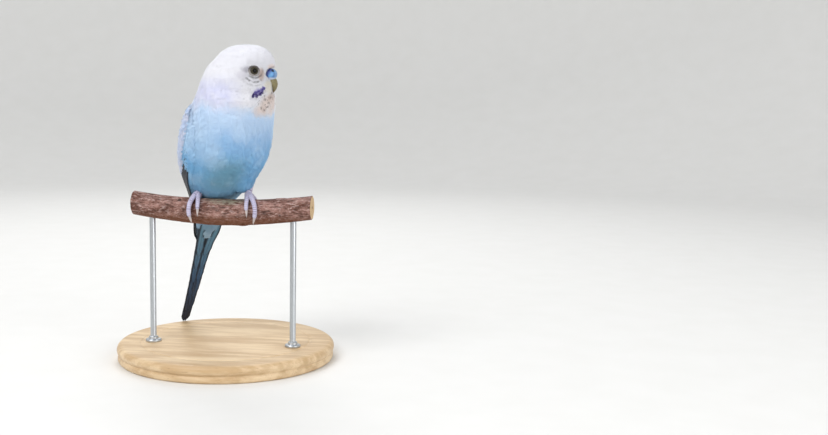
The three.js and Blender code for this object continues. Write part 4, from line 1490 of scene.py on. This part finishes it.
class BUDGERIGAR_OT_wings(bpy.types.Operator):
    """Lays the flight feathers and the rows of coverts on both wings."""

    bl_idname = "budgerigar.wings"
    bl_label = "Wings"

    def execute(self, context):
        form = bpy.data.objects["coat_outline"]
        tree = form_tree(form.data)
        flight = new_material("flight feathers", flight_paint, roughness=0.55, specular_ior_level=0.35)
        coverts = new_material("wing coverts", covert_paint, roughness=0.75, specular_ior_level=0.25)
        group = bpy.data.node_groups["lay feathers"]
        shape = covert_shape("covert_shape")
        small = vane_shape("edge_shape", 8, 1, 0.5, 0.7, 0.3)
        each = len(shape.data.vertices)
        rng = np.random.default_rng(context.scene.budgerigar_coat.seed)
        laid = {"Form": form, "Sway": 0.06, "Lift": 0.2, "Scattered": False, "Material": coverts}
        as_body = {**laid, "Material": bpy.data.materials["plumage"]}
        for name, side in SIDES.items():
            vanes = []
            reach = wing_sheet(tree, side)
            for k, tip in enumerate(PRIMARY_TIPS):
                root = (-3.0 - 0.7 * k, 0.04 + 0.044 * k)
                first = max(0.0, 1 - k / 3)
                lift = (0.07 * k + 0.6 * first, 0.45 + 0.07 * k + 0.55 * first)
                made = long_feather(reach, side, root, (tip, 0.36 + 0.039 * k), 3.3, lift, 0.3,
                                    dip=0.11 * first, clearing=(0.12, 0.3) if first else (0.25, 0.55))
                vanes.append((*made, {"shade": rng.uniform(0, 1), "pale": 0.75 if k > 2 else 0.0}))
            for k in range(SECONDARIES):
                root = (-8.0 - 0.5 * k, 0.45 + 0.065 * k)
                lift = (0.55 + 0.07 * k, 1.0 + 0.07 * k)
                tip = (-47 + 2.1 * k, 0.5 + 0.06 * k)
                made = long_feather(reach, side, root, tip, 3.7, lift, 0.16, 0.05)
                vanes.append((*made, {"shade": rng.uniform(0, 1), "pale": 1.0}))
            piece = vane_piece("flight_feathers_" + name, vanes, flight, ("shade", "pale"))
            finish_piece(piece, "plumage_wing")
            piece = grow("coverts_" + name, covert_roots(tree, side, rng), group, Vane=shape,
                         Breadth=0.62, Height=1.9, Seed=11, **laid)
            grid_map(piece, each)
            finish_piece(piece, "plumage_wing")
            piece = grow("edge_coverts_" + name, edge_roots(tree, side, rng, False), group, Vane=small,
                         Breadth=0.44, Height=2.0, Seed=12, **laid)
            finish_piece(piece, "plumage_wing")
            piece = grow("flank_" + name, edge_roots(tree, side, rng, True), group, Vane=small,
                         Breadth=0.46, Height=1.3, Seed=14, **as_body)
            finish_piece(piece, "plumage_blue")
        piece = grow("mantle", mantle_roots(tree, rng), group, Vane=shape, Breadth=0.6,
                     Height=1.12, Seed=13, **laid)
        grid_map(piece, each)
        finish_piece(piece, "plumage_wing")
        bpy.data.objects.remove(shape)
        bpy.data.objects.remove(small)
        return {"FINISHED"}


def covert_shape(name):
    """A broad rounded vane with a finely fringed end."""
    columns, rows = 12, 6
    points, along, across = [], [], []
    for r in range(rows + 1):
        for c in range(columns + 1):
            a, v = -1 + 2 * c / columns, r / rows
            width = 0.5 * (0.45 + 0.55 * float(smooth(v, 0, 0.45)))
            end = 0.58 + 0.42 * math.sqrt(1 - 0.94 * a * a) - (0.012 if c % 2 else 0)
            points.append((a * width, v * end, 0))
            along.append(v * end)
            across.append(a)
    shape = new_piece(name, points, sheet_faces(rows + 1, columns + 1))
    write_attribute(shape.data, "along", along)
    write_attribute(shape.data, "across", across)
    return shape


def tail_point(place, across, level):
    """A point in the tail: level runs from -1 at the back to 1 at the belly side."""
    belly, back, shift = [np.interp(place, TAIL_SIZES[:, 0], TAIL_SIZES[:, k]) for k in range(2, 5)]
    depth = belly * level if level > 0 else back * level
    return WAIST + (AXIS * place + LEFT * (across + shift) + BELLY * depth) * MM


class BUDGERIGAR_OT_tail(bpy.types.Operator):
    """Stacks the twelve graduated tail feathers."""

    bl_idname = "budgerigar.tail"
    bl_label = "Tail"

    def execute(self, context):
        material = new_material("tail feathers", rectrix_paint, roughness=0.5, specular_ior_level=0.35)
        rng = np.random.default_rng(context.scene.budgerigar_coat.seed)
        vanes = []
        for k, tip in enumerate(RECTRIX_TIPS):
            for side in SIDES.values():
                places = np.linspace(RECTRIX_ROOT, tip, 44)
                ways = np.linspace(0, 1, 44)
                left = 1 + 5 * np.clip((places + 121) / (121 - 76), 0, 1)
                levels = np.clip((k + 0.5) / left, 0, 1) * 1.8 - 0.9
                start, end = 0.7 + 0.62 * k, 0.55 + 0.26 * k
                sideways = side * (start + (end - start) * ways)
                line = np.array([tail_point(*row) for row in zip(places, sideways, levels)])
                wide = np.interp(places, TAIL_SIZES[:, 0], TAIL_SIZES[:, 1])
                half = np.minimum(wide - abs(sideways), 3.2)[:, None]
                facing = np.tile(-BELLY, (44, 1)) + np.outer(sideways, LEFT) * 0.06
                made = vane(line, facing, half, np.full(44, 16.0), (0.04 * side, -0.04 * side),
                            root_width=0.8, point=0.045 + 0.035 * k, rounding=0.01, columns=6)
                vanes.append((*made, {"shade": rng.uniform(0, 1)}))
        finish_piece(vane_piece("tail_feathers", vanes, material, ("shade",)), "plumage_tail")
        return {"FINISHED"}


# Face


def ball(name, rows, columns, place, material):
    """A closed rounded form: place(turn, height) gives a point for angles round and up."""
    points = []
    for r in range(1, rows):
        height = -math.pi / 2 + math.pi * r / rows
        points += [place(2 * math.pi * c / columns, height) for c in range(columns)]
    points += [place(0, -math.pi / 2), place(0, math.pi / 2)]
    faces = sheet_faces(rows - 1, columns, round_columns=True)
    last = (rows - 2) * columns
    for c in range(columns):
        faces.append((len(points) - 2, (c + 1) % columns, c))
        faces.append((last + c, last + (c + 1) % columns, len(points) - 1))
    return outward(new_piece(name, points, faces, material))


def cere_point(turn, height):
    """The cere's two lobes, with a groove between them and a pit for each nostril."""
    way = np.array((math.cos(height) * math.cos(turn), math.cos(height) * math.sin(turn), math.sin(height)))
    groove = math.exp(-((way[1] * CERE_RADII[1] / 0.55) ** 2)) * 0.09
    at = CERE_MIDDLE + way * CERE_RADII * (1 - groove)
    at[2] += min(way[2], 0.0) * 0.7
    gap = math.dist((at[0], abs(at[1]), at[2]), NOSTRIL)
    pit = math.exp(-((gap / 0.62) ** 2)) * 0.95 - math.exp(-(((gap - 1.0) / 0.35) ** 2)) * 0.2
    at = at - way * pit
    return in_head(*at)


UPPER_BILL = ((12.6, -0.6, 2.7, 3.2), (14.9, -1.0, 2.8, 3.1), (16.2, -2.4, 2.25, 2.5), (16.6, -4.0, 1.5, 1.7),
              (16.55, -5.5, 0.75, 0.9), (16.3, -6.6, 0.12, 0.14))
LOWER_BILL = ((12.2, -4.2, 2.0, 2.6), (13.8, -5.1, 1.7, 2.2), (15.1, -5.4, 1.0, 1.5), (15.7, -5.0, 0.3, 0.6))


def bill_part(name, rows, steps, material, ridge):
    """One half of the bill, from rows of forward, rise, half depth and half width."""
    rows = np.array(rows, float)
    even = curve_through(rows[:, :3], steps)
    line = in_head(even[:, 0], np.zeros(steps), even[:, 1])
    at = np.interp(even[:, 2], rows[::-1, 2], np.arange(len(rows))[::-1])
    wide = np.interp(at, np.arange(len(rows)), rows[:, 3])
    deep = even[:, 2]

    def sizes(way, angles):
        k = min(steps - 1, int(round(way * (steps - 1))))
        keel = 1 + ridge * np.clip(np.sin(angles), 0, 1) ** 6
        growth = 1 + 0.006 * math.sin(way * 60)
        return wide[k] * MM * growth, deep[k] * MM * keel * growth

    points, faces = tube(bent_tube(line, sizes, 48, HEAD_LEFT))
    piece = outward(new_piece(name, points, faces, material))
    rings = np.repeat(np.linspace(0, 1, steps), 48)
    write_attribute(piece.data, "along", np.concatenate([rings, (0, 1)]))
    return piece


# The plumes of a cheek patch: forward and rise of each root and tip, and half width
CHEEK_PLUMES = (((12.3, -3.3), (11.3, -5.6), 0.62), ((11.3, -4.1), (10.1, -8.5), 0.6),
                ((10.3, -4.8), (9.6, -6.9), 0.55), ((9.9, -5.1), (8.3, -9.4), 0.62),
                ((9.0, -5.7), (8.0, -7.6), 0.55), ((8.7, -5.9), (6.4, -9.2), 0.62))


def root_mesh(name, found):
    """A mesh of points, one for each feather to be laid, that carries where and how it lies."""
    points, outs, lies, lengths, darks = zip(*found)
    mesh = bpy.data.meshes.new(name)
    mesh.from_pydata([tuple(p) for p in points], [], [])
    write_attribute(mesh, "out", outs, "FLOAT_VECTOR")
    write_attribute(mesh, "lie", lies, "FLOAT_VECTOR")
    write_attribute(mesh, "length", lengths)
    write_attribute(mesh, "dark", darks)
    return mesh


def plume_roots(tree, rng):
    """Small violet feathers in rows down each plume of both cheek patches."""
    found = []
    for side in SIDES.values():
        for root, tip, half in CHEEK_PLUMES:
            root, tip = np.array(root), np.array(tip)
            run = tip - root
            length = np.linalg.norm(run)
            aside = np.array((-run[1], run[0])) / length
            for way in np.arange(0, max(length - 1.0, 0.3), 0.33) / length:
                width = half * math.sqrt(max(0.05, 1 - way ** 2))
                for x in np.arange(-width, width + 0.01, 0.36):
                    place = root + run * way + aside * (x + rng.uniform(-0.08, 0.08))
                    at = Vector(in_head(place[0], side * 30, place[1]))
                    hit, normal, _, _ = tree.ray_cast(at, Vector(-HEAD_LEFT * side))
                    normal = np.array(normal)
                    lie = FACE * run[0] + UP * run[1]
                    lie = unit(lie - normal * np.dot(lie, normal))
                    found.append((np.array(hit), normal, lie, 1.5 * MM, way + rng.uniform(-0.1, 0.1)))
    return root_mesh("plume_roots", found)


class BUDGERIGAR_OT_face(bpy.types.Operator):
    """Makes the eyes, the cere, the bill and the violet cheek plumes."""

    bl_idname = "budgerigar.face"
    bl_label = "Face"

    def execute(self, context):
        eye = new_material("eye", eye_paint, roughness=0.12, specular_ior_level=0.06, coat_weight=0.14,
                           coat_roughness=0.03)
        for name, side in SIDES.items():
            middle, out = eye_middle(side), eye_outward(side)
            first = unit(np.cross(out, UP))
            second = np.cross(out, first)

            def eye_point(turn, height, middle=middle, out=out, first=first, second=second):
                level_way = first * math.cos(turn) + second * math.sin(turn)
                way = level_way * math.cos(height) + out * math.sin(height)
                bulge = 1 + 0.04 * float(smooth(math.sin(height), 0.75, 1))
                return middle + way * EYE_RADIUS * bulge * MM

            piece = ball("eyeball_" + name, 64, 96, eye_point, eye)
            finish_piece(piece, "eye", "eye_" + name)
        cere = new_material("cere", cere_paint, specular_ior_level=0.5, subsurface_weight=0.08,
                            subsurface_scale=0.001)
        finish_piece(ball("cere_lobes", 96, 160, cere_point, cere), "cere", "cere")
        horn = horn_paint((128, 118, 78), (98, 88, 56), (96, 84, 56))
        bill = new_material("bill horn", horn, coat_weight=0.25, coat_roughness=0.2)
        finish_piece(bill_part("bill_hook", UPPER_BILL, 40, bill, 0.12), "bill", "bill_upper")
        finish_piece(bill_part("bill_scoop", LOWER_BILL, 24, bill, -0.1), "bill", "bill_lower")
        violet = new_material("cheek plumes", plume_paint, roughness=0.8, sheen_weight=0.15)
        form = bpy.data.objects["coat_outline"]
        shape = vane_shape("plume_shape", 5, 1, 0.5, 0.66, 0.3)
        roots = plume_roots(form_tree(form.data), np.random.default_rng(5))
        piece = grow("cheek_plumes", roots, bpy.data.node_groups["lay feathers"], Form=form, Vane=shape,
                     Breadth=0.42, Sway=0.1, Lift=0.2, Height=1.45, Scattered=False, Seed=5, Material=violet)
        bpy.data.objects.remove(shape)
        finish_piece(piece, "plumage_white")
        return {"FINISHED"}


class BUDGERIGAR_OT_claws(bpy.types.Operator):
    """Makes the eight claws, each a curved horn that thins to a point."""

    bl_idname = "budgerigar.claws"
    bl_label = "Claws"

    def execute(self, context):
        horn = horn_paint((196, 186, 184), (168, 156, 156), (110, 98, 98))
        material = new_material("claw horn", horn, coat_weight=0.2, coat_roughness=0.25)
        steps = 26
        for name, side in SIDES.items():
            for toe_name, toe in TOES.items():
                start = toe["toe"] + math.copysign(0.2, toe["toe"])
                line = toe_line(side, toe, start, toe["claw"], toe["radius"] * 0.6, steps)
                sizes = toe["radius"] * 0.6 * (1 - np.linspace(0, 1, steps) ** 1.3) + 0.06

                def claw_sizes(way, angles, sizes=sizes):
                    size = sizes[int(round(way * (steps - 1)))] * MM
                    return np.full(len(angles), size * 0.82), np.full(len(angles), size)

                points, faces = tube(bent_tube(line, claw_sizes, 20))
                piece = outward(new_piece(f"horn_{name}_{toe_name}", points, faces, material))
                along = np.repeat(np.linspace(0, 1, steps), 20)
                write_attribute(piece.data, "along", np.concatenate([along, (0, 1)]))
                finish_piece(piece, "claw", f"claw_{name}_{toe_name}")
        return {"FINISHED"}


# Perch and stand

KNOTS = ((-22.0, 0.6, 3.2), (31.0, -0.5, 3.6), (12.0, 2.6, 3.0))


def bark_relief(x, turn):
    """Height of the bark in millimetres: flat scales, long cracks and a few knots."""
    def rolled(along, around):
        return Vector((along, math.cos(turn) * around, math.sin(turn) * around))

    broad = noise.fractal(rolled(x * 0.09, 1.5) * 1.3, 1.0, 2.0, 4)
    scale = noise.noise(rolled(x * 0.22, 4.2))
    crack = 1 - min(1.0, abs(noise.noise(rolled(x * 0.08 + 7, 3.4))) / 0.05)
    height = 0.1 * broad + 0.09 * scale - 0.16 * crack
    for place, angle, size in KNOTS:
        gap = math.hypot(x - place, (math.remainder(turn - angle, 2 * math.pi)) * PERCH_RADIUS) / size
        height += 0.35 * math.exp(-((gap - 0.7) ** 2) * 9) - 0.3 * math.exp(-(gap ** 2) * 7)
    return height - 0.12


class BUDGERIGAR_OT_perch(bpy.types.Operator):
    """Makes the cut length of branch, with bark and sawn ends."""

    bl_idname = "budgerigar.perch"
    bl_label = "Perch"

    def execute(self, context):
        around, along = 144, 220
        points, relief, sawn, reach = [], [], [], []
        stations = [(-PERCH_HALF_LENGTH, share) for share in np.linspace(0.04, 0.93, 14)]
        end = PERCH_HALF_LENGTH - 0.25
        stations += [(x, 1.0) for x in np.linspace(-end, end, along)]
        stations += [(PERCH_HALF_LENGTH, share) for share in np.linspace(0.93, 0.04, 14)]
        for x, share in stations:
            for turn in np.linspace(0, 2 * math.pi, around, endpoint=False):
                height = bark_relief(x, turn)
                radius = (perch_radius(x) + height) * share
                rough = 0.05 * math.sin(turn * 3 + share * 9) if share < 1 else 0
                y, z = -radius * math.sin(turn), radius * math.cos(turn)
                at = np.array((x - math.copysign(abs(rough), x), y, z + PERCH_SAG * x * x))
                points.append(PERCH_MIDDLE + at * MM)
                relief.append(height + 0.4)
                sawn.append(1.0 if share < 1 else 0.0)
                reach.append(radius)
        rings = np.array(points).reshape(len(stations), around, 3)
        points, faces = tube(rings)
        bark = new_material("bark", bark_paint, specular_ior_level=0.3)
        piece = outward(new_piece("branch", points, faces, bark))
        write_attribute(piece.data, "relief", relief + [0.4, 0.4])
        write_attribute(piece.data, "sawn", sawn + [1.0, 1.0])
        write_attribute(piece.data, "reach", reach + [0.0, 0.0])
        finish_piece(piece, "bark", "perch")
        return {"FINISHED"}


# The base's and a rod's outlines as radius and height in millimetres, from the axis outwards
BASE_OUTLINE = ((0, 9.0), (44.0, 9.0), (44.5, 8.75), (45.0, 8.7), (45.5, 8.75), (46.0, 9.0), (55.2, 9.0),
                (56.6, 8.6), (57.6, 7.6), (58.0, 6.3), (57.8, 5.0), (57.0, 4.1), (56.8, 3.7), (57.1, 3.2),
                (57.5, 2.4), (57.5, 1.0), (56.9, 0.2), (56.3, 0.0), (0, 0.0))
BASE_TOP = 9.0
PERCH_UNDERSIDE = 76.2
ROD_APART = 38


def turned(name, outline, middle, sides, material):
    """A turned form from its outline, with sharp turns softened by short steps."""
    outline = np.array(outline, float)
    rows = [outline[0]]
    for before, here, after in zip(outline, outline[1:], outline[2:]):
        near = min(0.22, np.linalg.norm(here - before) / 3, np.linalg.norm(after - here) / 3)
        start, end = here + unit(before - here) * near, here + unit(after - here) * near
        rows += [start, (start + end + 2 * here) / 4, end]
    rows = np.array(rows[1:] if rows[0][0] == 0 else rows)
    turn = np.linspace(0, 2 * math.pi, sides, endpoint=False)
    ring = np.stack([np.cos(turn), np.sin(turn)], 1)
    points = [np.concatenate([ring * r, np.full((sides, 1), z)], 1) for r, z in rows]
    points, faces = tube(np.array(points))
    points[-2] = (0, 0, outline[0][1])
    points[-1] = (0, 0, outline[-1][1])
    return outward(new_piece(name, (points + np.asarray(middle)) * MM, faces, material))


class BUDGERIGAR_OT_stand(bpy.types.Operator):
    """Makes the round wooden base and the two steel rods."""

    bl_idname = "budgerigar.stand"
    bl_label = "Stand"

    def execute(self, context):
        look = context.scene.budgerigar_stand
        wood = new_material("turned wood", base_paint, coat_weight=0.15, coat_roughness=0.3)
        piece = turned("turned_base", BASE_OUTLINE, (0, 0, 0), look.rounding, wood)
        finish_piece(piece, "stand_base", "stand_base")
        steel = new_material("brushed steel", steel_paint, metallic=1.0)
        neck = BASE_TOP + look.collar / MM
        top = PERCH_UNDERSIDE + PERCH_SAG * ROD_APART * ROD_APART
        outline = ((0, BASE_TOP), (4.2, BASE_TOP), (4.2, 9.9), (3.7, 10.4), (2.5, 10.4), (2.5, neck - 0.3),
                   (2.2, neck), (1.6, neck), (1.6, top), (0, top))
        for name, side in SIDES.items():
            piece = turned("steel_rod_" + name, outline, (ROD_APART * side, -9, 0), look.rounding // 2, steel)
            finish_piece(piece, "stand_rod", "stand_rod_" + name)
        return {"FINISHED"}


# The camera's place in millimetres, and its turns in degrees: sideways, upwards and askew
CAMERA_AT = np.array((153.4, -565.5, 148.1))
CAMERA_TURNS = (5.323, -6.923, 1.130)
# Each lamp's place and width in metres
LAMPS = {"key": ((-0.42, -0.75, 0.95), 0.7), "fill": ((0.85, -0.55, 0.45), 0.7),
         "back": ((-0.2, 0.6, 0.75), 0.5)}


class BUDGERIGAR_OT_stage(bpy.types.Operator):
    """Sets the pale floor, the soft lights and the camera."""

    bl_idname = "budgerigar.stage"
    bl_label = "Stage"

    def execute(self, context):
        look = context.scene.budgerigar_stage
        profile = [(0.001, 0.0), (1.0, 0.0)]
        profile += [(1.0 + 0.5 * math.sin(t), 0.5 * (1 - math.cos(t))) for t in np.linspace(0.1, 1.5, 16)]
        profile.append((1.56, 1.3))
        around = np.linspace(0, 2 * math.pi, 96, endpoint=False)
        points = [(r * math.cos(t), r * math.sin(t), z) for r, z in profile for t in around]
        faces = sheet_faces(len(profile), len(around), round_columns=True)
        paper = new_material("paper", paper_paint, roughness=0.85)
        floor = new_piece("studio_paper", points, faces, paper)
        powers = {"key": look.key, "fill": look.fill, "back": look.fill * 0.8}
        for name, (place, size) in LAMPS.items():
            data = bpy.data.lights.new(name, "AREA")
            data.energy = powers[name]
            data.shape = "DISK"
            data.size = size
            lamp = new_object(name, data)
            lamp.location = place
            lamp.rotation_euler = (Vector(place) - Vector((0, 0, 0.1))).to_track_quat("Z", "Y").to_euler()
        world = bpy.data.worlds.new("studio")
        world.use_nodes = True
        sky = world.node_tree.nodes["Background"]
        sky.inputs["Color"].default_value = (0.93, 0.96, 1.0, 1)
        sky.inputs["Strength"].default_value = look.sky
        context.scene.world = world
        context.scene.view_settings.view_transform = "Standard"
        data = bpy.data.cameras.new("camera")
        data.lens = look.lens
        data.clip_start = 0.01
        camera = new_object("camera", data)
        camera.location = CAMERA_AT * MM
        yaw, pitch, roll = [math.radians(turn) for turn in CAMERA_TURNS]
        turn = Matrix.Rotation(yaw, 4, "Z") @ Matrix.Rotation(math.pi / 2 + pitch, 4, "X")
        camera.rotation_euler = (turn @ Matrix.Rotation(roll, 4, "Z")).to_euler()
        context.scene.camera = camera
        return {"FINISHED"}


class BUDGERIGAR_PT_panel(bpy.types.Panel):
    """Lists the steps that build the bird."""

    bl_label = "Budgerigar"
    bl_space_type = "VIEW_3D"
    bl_region_type = "UI"
    bl_category = "Budgerigar"

    def draw(self, context):
        for step in STEPS:
            self.layout.operator(step.bl_idname)


LOOKS = {"budgerigar_coat": CoatLook, "budgerigar_stand": StandLook, "budgerigar_stage": StageLook}
STEPS = (BUDGERIGAR_OT_skin, BUDGERIGAR_OT_coat, BUDGERIGAR_OT_wings, BUDGERIGAR_OT_tail,
         BUDGERIGAR_OT_face, BUDGERIGAR_OT_claws, BUDGERIGAR_OT_perch, BUDGERIGAR_OT_stand,
         BUDGERIGAR_OT_stage)


def register():
    for kind in (*LOOKS.values(), *STEPS, BUDGERIGAR_PT_panel):
        bpy.utils.register_class(kind)
    for name, kind in LOOKS.items():
        setattr(bpy.types.Scene, name, bpy.props.PointerProperty(type=kind))


def unregister():
    for name in LOOKS:
        delattr(bpy.types.Scene, name)
    for kind in (BUDGERIGAR_PT_panel, *reversed(STEPS), *LOOKS.values()):
        bpy.utils.unregister_class(kind)


def main():
    register()
    for step in STEPS:
        family, name = step.bl_idname.split(".")
        getattr(getattr(bpy.ops, family), name)()


if __name__ == "__main__":
    main()
